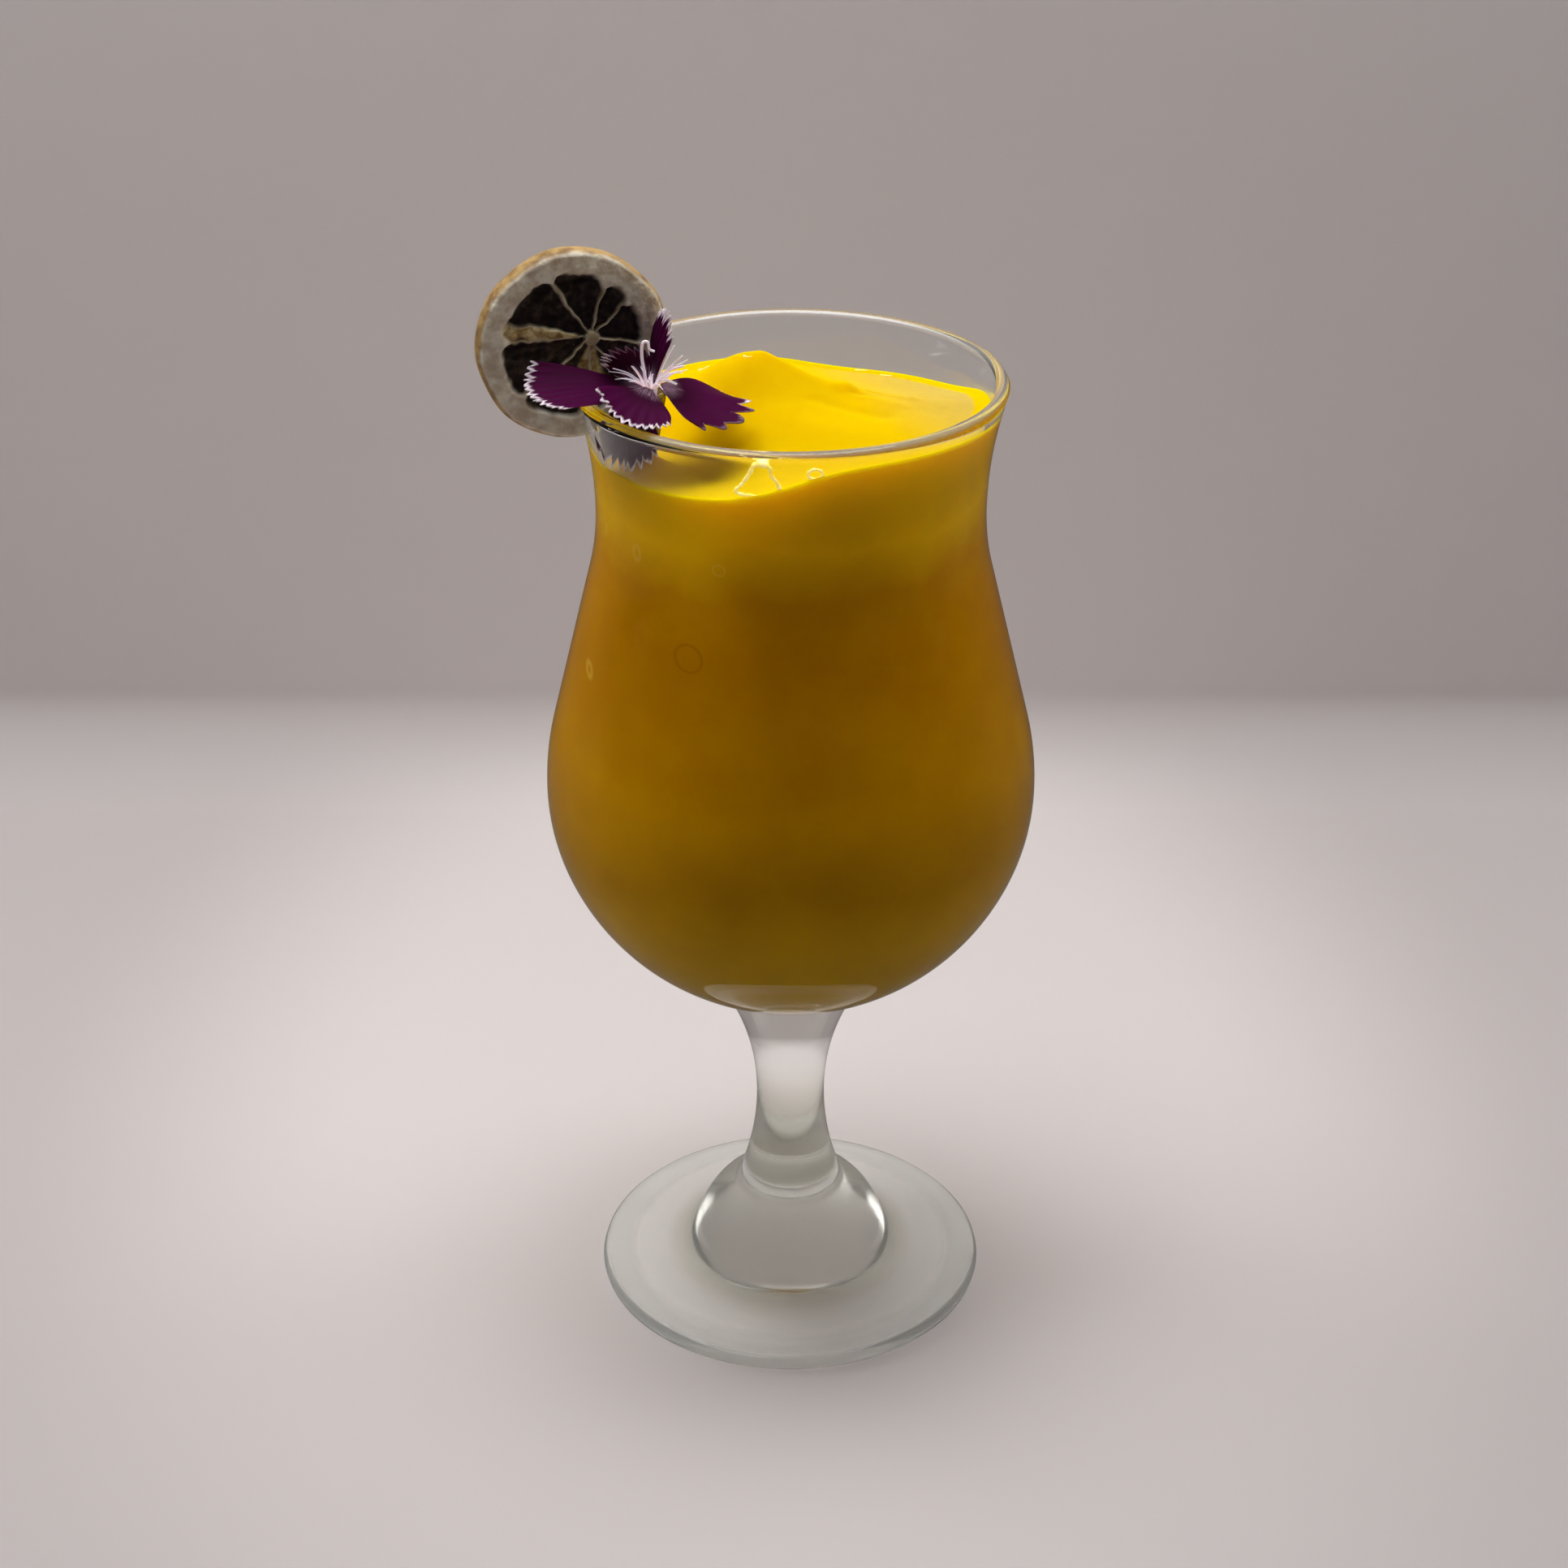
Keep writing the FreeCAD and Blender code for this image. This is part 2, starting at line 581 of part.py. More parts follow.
def wheel_parts():
    """The dried wheel: rind and pith stand proud, pulp is sunken, and a slit takes the rim."""
    disc = doc.addObject("Part::Feature", "rind_disc")
    disc.Shape = rind_disc()
    front = segment_windows()
    back = doc.addObject("Part::Mirroring", "windows_behind")
    back.Source = front
    back.Normal = Vector(0, 0, 1)
    both = doc.addObject("Part::MultiFuse", "all_windows")
    both.Shapes = [front, back]
    slice_ = doc.addObject("Part::Cut", "dried_slice")
    slice_.Base, slice_.Tool = disc, both
    slice_.Placement = wheel_frame()
    seated = doc.addObject("Part::Cut", "seated_slice")
    seated.Base, seated.Tool = slice_, rim_slit()
    doc.recompute()
    # The rind's edges are the longest ones: every other edge is shorter than the pith's radius.
    rounding = size("rind_fillet")
    wheel = doc.addObject("Part::Fillet", "citrus_wheel")
    wheel.Base = seated
    wheel.Edges = [
        (number, rounding, rounding)
        for number, edge in enumerate(seated.Shape.Edges, start=1)
        if edge.Length > 1.5 * size("pulp_radius")
    ]
    return wheel


# ---------------------------------------------------------------------------------------------
# Flower
# ---------------------------------------------------------------------------------------------


def flower_axis():
    """Placement at the foot of the calyx, with z up the flower to its throat."""
    lean_from = polar(1, size("calyx_lean_azimuth") + 90, 0)
    lean = Rotation(lean_from, size("calyx_lean"))
    down = lean.multVec(Vector(0, 0, -size("calyx_length")))
    return Placement(throat_place + down, lean)


def calyx_body():
    """The tube under the petals: closed at its foot, hollow at its toothed mouth."""
    foot, mouth = cell("calyx_base"), cell("calyx_mouth")
    length, depth = cell("calyx_length"), cell("calyx_depth")
    bore = f"{mouth} - {cell('calyx_wall')}"
    corners = [
        ("foot_middle", "0", "0"),
        ("foot_edge", f"{foot} - 0.5", "0"),
        ("foot_side", foot, "0.5"),
        ("mouth_outside", mouth, length),
        ("mouth_inside", bore, length),
        ("bore_side", bore, f"{length} - {depth}"),
        ("bore_middle", "0", f"{length} - {depth}"),
    ]
    sides = [None, ("0.5", LEFT), None, None, None, None, None]
    body, shape = turned_body("calyx", corners, sides)
    notch = body.newObject("Sketcher::SketchObject", "notch")
    plane = next(f for f in body.Origin.OriginFeatures if f.Role == "YZ_Plane")
    notch.AttachmentSupport = (plane, "")
    notch.MapMode = "FlatFace"
    half = math.pi * size("calyx_mouth") / size("calyx_teeth") * 0.9
    top, bottom = size("calyx_length") + 1, size("calyx_length") - size("tooth_cut")
    tips = [Vector(-half, top, 0), Vector(half, top, 0), Vector(0, bottom, 0)]
    for start, end in zip(tips, tips[1:] + tips[:1]):
        notch.addGeometry(Part.LineSegment(start, end), False)
    for side in range(3):
        notch.addConstraint(Sketcher.Constraint("Coincident", side, 2, (side + 1) % 3, 1))
    doc.recompute()
    cut = body.newObject("PartDesign::Pocket", "notch_cut")
    cut.Profile = notch
    cut.Length = 2 * size("calyx_mouth")
    cut.Reversed = True
    doc.recompute()
    ring = body.newObject("PartDesign::PolarPattern", "notches")
    ring.Originals = [cut]
    axis = next(f for f in body.Origin.OriginFeatures if f.Role == "Z_Axis")
    ring.Axis = (axis, [""])
    ring.Angle = 360
    ring.setExpression("Occurrences", cell("calyx_teeth"))
    body.Tip = ring
    body.Placement = flower_axis()
    doc.recompute()
    return body


def petal_outline(length, width, skew, seed):
    """A narrow claw that opens to a fan whose outer edge is cut into uneven teeth."""
    claw = size("claw_width") / 2
    fan = math.asin(min(0.95, width / 2 / (0.92 * length)))
    teeth = int(size("fringe_teeth"))
    points = [Vector(0, -claw, 0), Vector(0.18 * length, -claw, 0)]
    fringe = []
    for step in range(2 * teeth + 1):
        across = -1 + step / teeth
        uneven = 0.5 + 0.5 * math.sin(2.4 * step + seed)
        reach = length * (1 - 0.08 * across**2 + skew * across)
        if step % 2 == 0:
            reach -= size("fringe_depth") * (0.55 + 0.45 * uneven)
        turn = fan * across
        fringe.append(Vector(reach * math.cos(turn), reach * math.sin(turn), 0))
    side = []
    for share in (0.25, 0.5, 0.75):
        start, end = points[1], fringe[0]
        bow = 0.07 * width * math.sin(math.pi * share)
        side.append(start + (end - start) * share + Vector(0, -bow, 0))
    mirrored = [Vector(p.x, -p.y, 0) for p in reversed(points + side)]
    ring = points + side + fringe + mirrored
    return Part.Face(Part.makePolygon(ring + [ring[0]]))


def petal_solid(length, width, droop, cup, skew, seed):
    """A thin curved blade: its net bends down along its length and is cupped across."""
    rows, columns = 9, 7
    margin = 1.2
    net = []
    for row in range(rows):
        x = length * (margin * row / (rows - 1) - (margin - 1) / 2)
        line = []
        for column in range(columns):
            y = width * margin * (column / (columns - 1) - 0.5)
            ripple = 0.35 * math.sin(4.0 * y / width + seed) * (x / length) ** 2
            bend = -droop * (x / length) ** 2 + cup * (2 * y / width) ** 2 * x / length
            line.append(Vector(x, y, bend + ripple))
        net.append(line)
    blade = Part.BSplineSurface()
    blade.interpolate(net)
    slab = blade.toShape().extrude(Vector(0, 0, size("petal_thickness")))
    outline = petal_outline(length, width, skew, seed)
    outline.translate(Vector(0, 0, -length))
    return slab.common(outline.extrude(Vector(0, 0, 2 * length)))


def petal_parts(frame):
    """The petals start round the calyx mouth, each its own blade."""
    throat = frame.multVec(Vector(0, 0, size("calyx_length")))
    above = frame.multVec(Vector(0, 0, size("calyx_length") + size("petal_seat")))
    petals = []
    for seed, (name, values) in enumerate(PETALS.items(), start=1):
        azimuth, rise, roll, length, width, droop, cup, skew = values
        foot = above + polar(size("calyx_mouth") * 0.6, azimuth, 0)
        if name == "petal_tucked":
            beside = size("calyx_mouth") + size("tucked_gap")
            foot = throat + polar(beside, size("tucked_azimuth"), 0)
        aim = (
            Rotation(Vector(0, 0, 1), azimuth)
            * Rotation(Vector(0, 1, 0), -rise)
            * Rotation(Vector(1, 0, 0), roll)
        )
        petal = doc.addObject("Part::Feature", name)
        petal.Shape = petal_solid(length, width, droop, cup, skew, seed)
        petal.Placement = Placement(foot, aim)
        petals.append(petal)
    return petals


def style_parts(frame):
    """White threads that stand on the floor of the calyx and curl out of the throat."""
    throat = frame.multVec(Vector(0, 0, size("calyx_length")))
    styles = []
    for name, steps in STYLES.items():
        curve = Part.BSplineCurve()
        curve.interpolate([throat + Vector(*step) for step in steps])
        route = doc.addObject("Part::Feature", f"{name}_route")
        route.Shape = Part.Wire(curve.toShape())
        section = doc.addObject("Part::Circle", f"{name}_section")
        section.setExpression("Radius", cell("style_radius"))
        start = curve.FirstParameter
        facing = Rotation(Vector(0, 0, 1), Vector(*curve.tangent(start)[0]))
        section.Placement = Placement(curve.value(start), facing)
        style = doc.addObject("Part::Sweep", name)
        style.Sections = [section]
        style.Spine = (route, ["Edge1"])
        style.Solid = True
        styles.append(style)
    return styles


# ---------------------------------------------------------------------------------------------
# Build, check and write
# ---------------------------------------------------------------------------------------------

glass = glass_body()
calyx = calyx_body()
drink = drink_parts(calyx)
wheel = wheel_parts()
petals = petal_parts(calyx.Placement)
styles = style_parts(calyx.Placement)
doc.recompute()

for item in doc.Objects:
    if {"Invalid", "Error"} & set(item.State):
        raise RuntimeError(f"{item.Label} failed: {item.State}")

nodes = [glass, drink, wheel, calyx] + petals + styles
for node in nodes:
    if node.Shape.isNull() or not node.Shape.isValid():
        raise RuntimeError(f"{node.Label} has no valid shape")
    if len(node.Shape.Solids) != 1:
        raise RuntimeError(f"{node.Label} has {len(node.Shape.Solids)} solids")

os.makedirs("parts", exist_ok=True)
for node in nodes:
    node.Shape.exportStep(f"parts/{node.Label}.step")
    box = node.Shape.optimalBoundingBox(False, False)
    print(f"{node.Label:15s} {node.Shape.Volume:12.1f} mm3  z {box.ZMin:.2f} to {box.ZMax:.2f}")
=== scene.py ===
# %% [markdown]
# # A mango daiquiri with a dried citrus wheel and a fringed pink
#
# A frozen drink is a good lesson in three finishes that Blender treats very differently: clear
# glass, a wet slush that lets a little light in, and dry plant tissue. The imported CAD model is
# loaded first and never moves. Every piece below is built round it, in metres, in its frame.

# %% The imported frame
import math
import random

import bpy
import numpy as np
from mathutils import Euler, Matrix, Vector, noise


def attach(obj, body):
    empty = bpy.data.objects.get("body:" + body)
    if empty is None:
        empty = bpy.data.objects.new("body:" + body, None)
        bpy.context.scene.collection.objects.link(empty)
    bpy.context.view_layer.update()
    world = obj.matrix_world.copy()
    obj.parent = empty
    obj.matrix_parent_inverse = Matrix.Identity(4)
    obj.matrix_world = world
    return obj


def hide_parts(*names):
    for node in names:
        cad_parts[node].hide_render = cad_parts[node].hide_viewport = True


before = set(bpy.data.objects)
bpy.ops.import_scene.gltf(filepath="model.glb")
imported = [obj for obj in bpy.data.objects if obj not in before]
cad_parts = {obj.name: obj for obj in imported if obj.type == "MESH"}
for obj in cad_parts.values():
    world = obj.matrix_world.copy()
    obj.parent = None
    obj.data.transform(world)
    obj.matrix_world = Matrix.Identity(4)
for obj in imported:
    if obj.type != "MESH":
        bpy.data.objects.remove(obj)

bpy.context.view_layer.update()
MM = 0.001
UP = Vector((0, 0, 1))

# %% [markdown]
# ## Shader maths that reads like maths
#
# A node tree is easier to follow as a formula than as a list of boxes and wires, so one small
# class wraps a socket and answers to + - * / and **. Every other node comes from one method, which
# takes the node's type, its settings, and what goes into its sockets.


# %% One wrapped socket
class Signal:
    """A socket of a node tree: numbers and other signals combine with it by ordinary operators."""

    def __init__(self, tree, socket):
        self.tree, self.socket = tree, socket

    def node(self, kind, settings=None, inputs=None, output=0):
        """Add any shader node to this signal's tree and return one of its outputs."""
        made = self.tree.nodes.new("ShaderNode" + kind)
        for name, value in (settings or {}).items():
            if name == "stops":
                set_stops(made.color_ramp, value)
            else:
                setattr(made, name, value)
        for key, value in (inputs or {}).items():
            if isinstance(value, Signal):
                self.tree.links.new(value.socket, made.inputs[key])
            else:
                made.inputs[key].default_value = value
        return Signal(self.tree, made.outputs[output] if made.outputs else None)

    def math(self, operation, first, second=0.0):
        return self.node("Math", {"operation": operation}, {0: first, 1: second})

    def split(self):
        """The x, y and z of a place or a direction."""
        first = self.node("SeparateXYZ", inputs={0: self})
        return [Signal(self.tree, socket) for socket in first.socket.node.outputs]

    def __add__(self, other):
        return self.math("ADD", self, other)

    def __sub__(self, other):
        return self.math("SUBTRACT", self, other)

    def __mul__(self, other):
        return self.math("MULTIPLY", self, other)

    def __truediv__(self, other):
        return self.math("DIVIDE", self, other)

    def __pow__(self, other):
        return self.math("POWER", self, other)

    def __rsub__(self, other):
        return self.math("SUBTRACT", other, self)

    __radd__ = __add__
    __rmul__ = __mul__

    def between(self, low, high):
        """0 below low, 1 above high, and a soft step from one to the other."""
        settings = {"interpolation_type": "SMOOTHSTEP"}
        return self.node("MapRange", settings, {0: self, 1: low, 2: high})

    def mix(self, from_color, to_color):
        """Blend two colours by this signal; a Mix node keeps its colours in sockets 6 and 7."""
        inputs = {0: self, 6: from_color, 7: to_color}
        return self.node("Mix", {"data_type": "RGBA"}, inputs, output=2)

    def mix_shaders(self, first, second):
        """The first shader where this signal is 0, the second where it is 1."""
        return self.node("MixShader", inputs={0: self, 1: first, 2: second})


def set_stops(ramp, stops):
    """Give a colour ramp these (position, colour) stops."""
    while len(ramp.elements) < len(stops):
        ramp.elements.new(1.0)
    for element, (position, color) in zip(ramp.elements, stops):
        element.position, element.color = position, color


# %% A new material
def paint(red, green, blue):
    """A colour as it looks on a screen, 0 to 255, turned into the linear light that shaders use."""
    linear = [
        v / 12.92 if v <= 0.04045 else ((v + 0.055) / 1.055) ** 2.4
        for v in (red / 255, green / 255, blue / 255)
    ]
    return (*linear, 1.0)


def new_material(name):
    """An empty material, and a signal to build on: the place on the piece, in metres."""
    material = bpy.data.materials.new(name)
    material.use_nodes = True
    tree = material.node_tree
    tree.nodes.clear()
    return material, Signal(tree, None).node("TexCoord", output=3)


def finish(place, shader):
    """Wire a shader to the material's output."""
    place.node("OutputMaterial", inputs={0: shader})


def principled(place, inputs):
    """The general shader that every finish starts from."""
    return place.node("BsdfPrincipled", inputs=inputs)


def light_path(place, output):
    """1 for rays of one kind, 0 for all others."""
    return place.node("LightPath", output=output)


SHADOW_RAY, GLOSSY_RAY, TRANSMISSION_RAY = 1, 3, 6


def noise_at(place, per_metre, detail=3.0, roughness=0.55):
    """Cloudy values round 0.5 with this many features to the metre."""
    inputs = {"Vector": place, "Scale": per_metre, "Detail": detail, "Roughness": roughness}
    return place.node("TexNoise", inputs=inputs)


def bump(height, strength, depth):
    """Turn a height signal into a bumped normal, depth in metres."""
    inputs = {"Height": height, "Strength": strength, "Distance": depth}
    return height.node("Bump", inputs=inputs)


def masks_of(place, *names):
    """The masks that a mesh carries, as signals."""
    for name in names:
        yield place.node("Attribute", {"attribute_name": name}, output=2)


print("shader helpers ready")

# %% [markdown]
# ## Outlines of the glass
#
# A glass is a solid of revolution, so its whole form is one outline: arcs that run smoothly into
# each other for the bottom, the belly, the shoulder, a straight flank, the neck and the flared lip.
# They are worked out here from the same few sizes that the CAD model was made from.


# %% Sizes of the glass
class Glass:
    """Millimetres, from the table up."""

    height, wall = 175.0, 2.2
    foot_radius, foot_edge, foot_rise, foot_blend = 35.3, 2.8, 5.4, 2.0
    hollow_radius, hollow_depth = 29.0, 1.2
    dome_radius, dome_center = 18.3, 3.1
    knuckle_radius, knuckle_blend = 9.65, 0.9
    waist_radius, waist_height = 6.15, 37.5
    collar_radius, collar_blend = 14.2, 1.0
    bottom_height, belly_radius, belly_shift, bowl_flatness = 61.0, 42.1, 4.1, 1.3
    flank_length, neck_curve, neck_radius = 29.0, 45.0, 32.2
    lip_length, rim_curve = 22.0, 72.0


LEFT, RIGHT = 1, -1


# %% Arcs and runs
def arc(start, end, radius, turn, step=0.9):
    """Points from start up to end along a circle, turning left (+1) or right (-1)."""
    start, end = np.array(start, float), np.array(end, float)
    chord = end - start
    length = np.hypot(*chord)
    inward = np.array([-chord[1], chord[0]]) / length * turn
    center = (start + end) / 2 + inward * math.sqrt(max(radius**2 - length**2 / 4, 0))
    first = math.atan2(*(start - center)[::-1])
    sweep = 2 * math.asin(min(1, length / 2 / radius)) * turn
    count = max(3, int(abs(sweep) * radius / step))
    angles = first + sweep * np.arange(count) / count
    return center + radius * np.stack([np.cos(angles), np.sin(angles)], 1)


def run(corners, sides):
    """A polyline through the corners; each side is None for straight, or (radius, turn)."""
    parts = []
    for start, end, side in zip(corners, corners[1:], sides):
        if side is None:
            count = max(1, int(math.dist(start, end) / 2.0))
            share = np.arange(count)[:, None] / count
            parts.append(np.array(start) * (1 - share) + np.array(end) * share)
        else:
            parts.append(arc(start, end, *side))
    return np.vstack(parts + [np.array(corners[-1])[None]])


def soften(points, corner, reach):
    """Round one crease of an outline by a short curve that starts and ends this far from it."""
    near = np.flatnonzero(np.hypot(*(points - np.array(corner)).T) < reach)
    start, end = points[near[0] - 1], points[near[-1] + 1]
    share = np.linspace(0, 1, 8)[1:-1, None]
    curve = start * (1 - share) ** 2 + 2 * share * (1 - share) * corner + end * share**2
    return np.vstack([points[: near[0]], curve, points[near[-1] + 1 :]])


# %% The bowl's arcs
belly_curve = Glass.belly_radius - Glass.belly_shift
side_rise = Glass.belly_radius - Glass.bowl_flatness
belly_up = Glass.bottom_height + side_rise
neck_up = Glass.height - Glass.lip_length
lip_up = Glass.height - Glass.wall / 2
bottom_curve = (side_rise**2 + Glass.belly_shift**2 - belly_curve**2) / 2
bottom_curve /= side_rise - belly_curve
bottom_center = Glass.bottom_height + bottom_curve
narrowing, climb = Glass.belly_radius - Glass.neck_radius, neck_up - belly_up
curves = (climb**2 + narrowing**2 - Glass.flank_length**2) / (2 * narrowing)
shoulder_curve = curves - Glass.neck_curve
shoulder_across = Glass.belly_radius - shoulder_curve
neck_across = Glass.neck_radius + Glass.neck_curve
rim_across = Glass.neck_radius + Glass.rim_curve


def rim_radius(inset, height):
    """Radius of the flare above the neck, this far in from the outside."""
    curve = Glass.rim_curve + inset
    return rim_across - math.sqrt(curve**2 - (height - neck_up) ** 2)


def bowl_corners(inset):
    """Corners and sides of the bowl from its middle up to the neck, this far in."""
    share = (bottom_curve - inset) / (bottom_curve - belly_curve)
    side = (Glass.belly_shift * share, bottom_center + (belly_up - bottom_center) * share)
    over = neck_across - shoulder_across
    apart = over**2 + climb**2
    out = (over * curves + climb * Glass.flank_length) / apart
    up = (climb * curves - over * Glass.flank_length) / apart
    shoulder, neck = shoulder_curve - inset, Glass.neck_curve + inset
    corners = [
        (0.0, Glass.bottom_height + inset),
        side,
        (Glass.belly_radius - inset, belly_up),
        (shoulder_across + shoulder * out, belly_up + shoulder * up),
        (neck_across - neck * out, neck_up - neck * up),
        (Glass.neck_radius - inset, neck_up),
    ]
    below = [(bottom_curve - inset, LEFT), (belly_curve - inset, LEFT)]
    return corners, [*below, (shoulder, LEFT), None, (neck, RIGHT)]


# %% The whole outline
def flare(across, up):
    """Radius of the stem's curve: upright at the waist, and through this point."""
    step, rise = across - Glass.waist_radius, up - Glass.waist_height
    return (step**2 + rise**2) / (2 * step)


def glass_outline():
    """From the middle of the hollow foot, out, up, over the lip and down to the bowl's floor."""
    edge = Glass.foot_edge / 2
    foot_in = Glass.foot_radius - edge
    dome_foot = math.sqrt(Glass.dome_radius**2 - (Glass.foot_rise - Glass.dome_center) ** 2)
    knuckle = Glass.knuckle_radius
    knuckle_up = Glass.dome_center + math.sqrt(Glass.dome_radius**2 - knuckle**2)
    collar = Glass.collar_radius
    collar_up = bottom_center - math.sqrt(bottom_curve**2 - collar**2)
    hollow, depth = Glass.hollow_radius, Glass.hollow_depth
    lip_out, lip_in = rim_radius(0, lip_up), rim_radius(Glass.wall, lip_up)
    lip_radius = ((lip_out - lip_in) ** 2 / 4 + (Glass.wall / 2) ** 2) / Glass.wall
    outside, outside_sides = bowl_corners(0)
    inside, inside_sides = bowl_corners(Glass.wall)
    corners = [
        (0.0, depth), (hollow, 0.0), (foot_in, 0.0), (Glass.foot_radius, edge),
        (foot_in, Glass.foot_edge), (dome_foot, Glass.foot_rise), (knuckle, knuckle_up),
        (Glass.waist_radius, Glass.waist_height), (collar, collar_up),
        *outside[1:], (lip_out, lip_up), (lip_in, lip_up), *inside[::-1],
    ]
    sides = [
        ((hollow**2 + depth**2) / (2 * depth), RIGHT), None, (edge, LEFT), (edge, LEFT), None,
        (Glass.dome_radius, LEFT), (flare(knuckle, knuckle_up), RIGHT),
        (flare(collar, collar_up), RIGHT), *outside_sides,
        (Glass.rim_curve, RIGHT), (lip_radius, LEFT), (Glass.rim_curve + Glass.wall, LEFT),
        *[side and (side[0], -side[1]) for side in reversed(inside_sides)],
    ]
    points = run(corners, sides)
    points = soften(points, (dome_foot, Glass.foot_rise), Glass.foot_blend)
    points = soften(points, (knuckle, knuckle_up), Glass.knuckle_blend)
    return soften(points, (collar, collar_up), Glass.collar_blend)


outline = glass_outline()
print("glass outline:", len(outline), "points, widest", outline[:, 0].max().round(2), "mm")

# %% [markdown]
# ## Turning an outline
#
# A Screw modifier could do this, but a mesh made from numbers leaves nothing to apply. Each
# outline point becomes a ring, a point on the axis becomes a single pole, and the rings are joined
# by four-sided faces.


# %% Mesh helpers
def new_piece(name, points, faces, smooth=True):
    """A mesh object from points in millimetres."""
    mesh = bpy.data.meshes.new(name)
    mesh.from_pydata([tuple(p) for p in np.asarray(points) * MM], [], faces)
    mesh.validate()
    if smooth:
        mesh.shade_smooth()
    piece = bpy.data.objects.new(name, mesh)
    bpy.context.scene.collection.objects.link(piece)
    return piece


def ring_faces(rings, around, closed=True):
    """Faces between rings of points that are stored one after the other."""
    faces = []
    last = around if closed else around - 1
    for ring in range(rings - 1):
        low, high = ring * around, (ring + 1) * around
        for i in range(last):
            j = (i + 1) % around
            faces.append((low + i, low + j, high + j, high + i))
    return faces


def closed_faces(rings, around):
    """Faces of a skin of rings whose two poles, the first and the last, are stored at the end."""
    faces = ring_faces(rings, around)
    first_pole, top = rings * around, (rings - 1) * around
    for i in range(around):
        j = (i + 1) % around
        faces.append((first_pole, j, i))
        faces.append((first_pole + 1, top + i, top + j))
    return faces


def full_turn(steps):
    """Angles once round the axis, in radians."""
    return 2 * math.pi * np.arange(steps) / steps


def turned(name, profile, around):
    """Turn an outline that starts and ends on the axis; the outside of the piece is on its right."""
    radii, heights = profile[1:-1, :1], np.repeat(profile[1:-1, 1:], around, 1)
    angles = full_turn(around)
    rings = np.stack([radii * np.cos(angles), radii * np.sin(angles), heights], 2).reshape(-1, 3)
    points = np.vstack([rings, [(0, 0, profile[0, 1])], [(0, 0, profile[-1, 1])]])
    return new_piece(name, points, closed_faces(len(radii), around))


def store_masks(piece, masks):
    """Keep one value for each point and mask in the mesh, for the material to read."""
    for name, values in masks.items():
        stored = piece.data.attributes.new(name, "FLOAT", "POINT")
        stored.data.foreach_set("value", values.astype(np.float32))


def give(piece, material, slot, *nodes):
    """Finish a piece: its material, its body and what it stands for; slot is not used."""
    piece.data.materials.clear()
    piece.data.materials.append(material)
    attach(piece, "root")
    if nodes:
        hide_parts(*nodes)
    print(piece.name + ":", len(piece.data.polygons), "faces")


print("mesh helpers ready")

# %% [markdown]
# ## Clear glass
#
# Cycles traces real refraction through a Principled shader with full Transmission. The glass is a
# closed solid, so light bends at its inner and its outer face, as in a real wall. Lamps would find
# it hard to shine through that: for shadow rays only, the shader steps aside for a nearly clear
# Transparent one. A faint bump is the waviness of pressed glass. A little pale white is mixed in:
# at the lip it is a painted highlight, at the foot's edge painted light, and in the solid base
# partly cloudy glass and partly painted light.

# %% Glass material
GLASS_AROUND = 256
material, place = new_material("clear_glass")
waves = noise_at(place, 45.0, detail=2.0)
x, y, height = place.split()
outward = (x * x + y * y) ** 0.5
# Where each zone of the glass fades in or out, in metres.
BASE_TOP, BASE_SIDE = (0.034, 0.046), (0.018, 0.024)
FOOT_SIDE, FOOT_TOP = (0.0285, 0.0305), (0.006, 0.012)
solid = (1 - height.between(*BASE_TOP)) * (1 - outward.between(*BASE_SIDE))
foot_edge = outward.between(*FOOT_SIDE) * (1 - height.between(*FOOT_TOP))
lip = height.between((Glass.height - 1.2) * MM, (Glass.height - 0.2) * MM)
# The lip's share of this white mix is a painted highlight, the foot edge's share is painted light
# that greys its dark lines, and the base's share is partly cloudy glass and partly painted light.
pale = lip * 0.3 + foot_edge * 0.3 + solid * 0.12
glass_shader = principled(place, {
    "Base Color": solid.mix(paint(252, 254, 252), paint(240, 241, 232)),
    "Roughness": solid * 0.12,
    "IOR": 1.5,
    "Specular Tint": (0.3, 0.3, 0.3, 1.0),
    "Transmission Weight": 1.0,
    "Normal": bump(waves, 0.12, 0.0004),
})
painted_glow_and_cloud = principled(place, {"Base Color": paint(226, 226, 222), "Roughness": 0.2})
clear = place.node("BsdfTransparent", inputs={"Color": (0.93, 0.93, 0.92, 1.0)})
shown = pale.mix_shaders(glass_shader, painted_glow_and_cloud)
finish(place, light_path(place, SHADOW_RAY).mix_shaders(shown, clear))
give(turned("tulip_glass", outline, GLASS_AROUND), material, "clear_glass", "glass")

# %% [markdown]
# ## The frozen drink
#
# Blended ice and mango is thick enough to hold the shape that the spoon left: a peak at the back
# left, a dip in front, and a soft edge that climbs the wall. Its upper face is a height for each
# place, so it is a sum of smooth hills, plus fine grain. Below, it takes the form of the bowl and
# reaches a hair into the wall, because an air gap there would shine like a mirror.


# %% Height of the drink
class Drink:
    """Millimetres and degrees."""

    level, tilt, tilt_azimuth = Glass.height - 5.7, 2.2, -60.0
    dip_depth, dip_reach, dip_radius, dip_azimuth = 5.4, 23.0, 31.0, 230.0
    heap_rise, heap_reach = 3.4, 3.8
    peak_rise, peak_radius, peak_azimuth, peak_reach = 6.1, 12.2, 128.0, 7.0
    mound_share, mound_reach = 0.5, 13.0
    slump, slump_radius, slump_azimuth, slump_reach = 2.4, 32.0, 54.0, 20.0
    into_wall = 0.25


class Flower:
    """Where the flower stands, in millimetres and degrees."""

    throat_inset, throat_beside, throat_rise = 6.6, 6.2, 3.0
    lean, lean_azimuth = 7.0, 330.0
    claw_seat, mouth = 0.3, 2.6


def polar(radius, azimuth, height=0.0):
    """A point at this distance and direction from the glass's axis."""
    turn = math.radians(azimuth)
    return Vector((radius * math.cos(turn), radius * math.sin(turn), height))


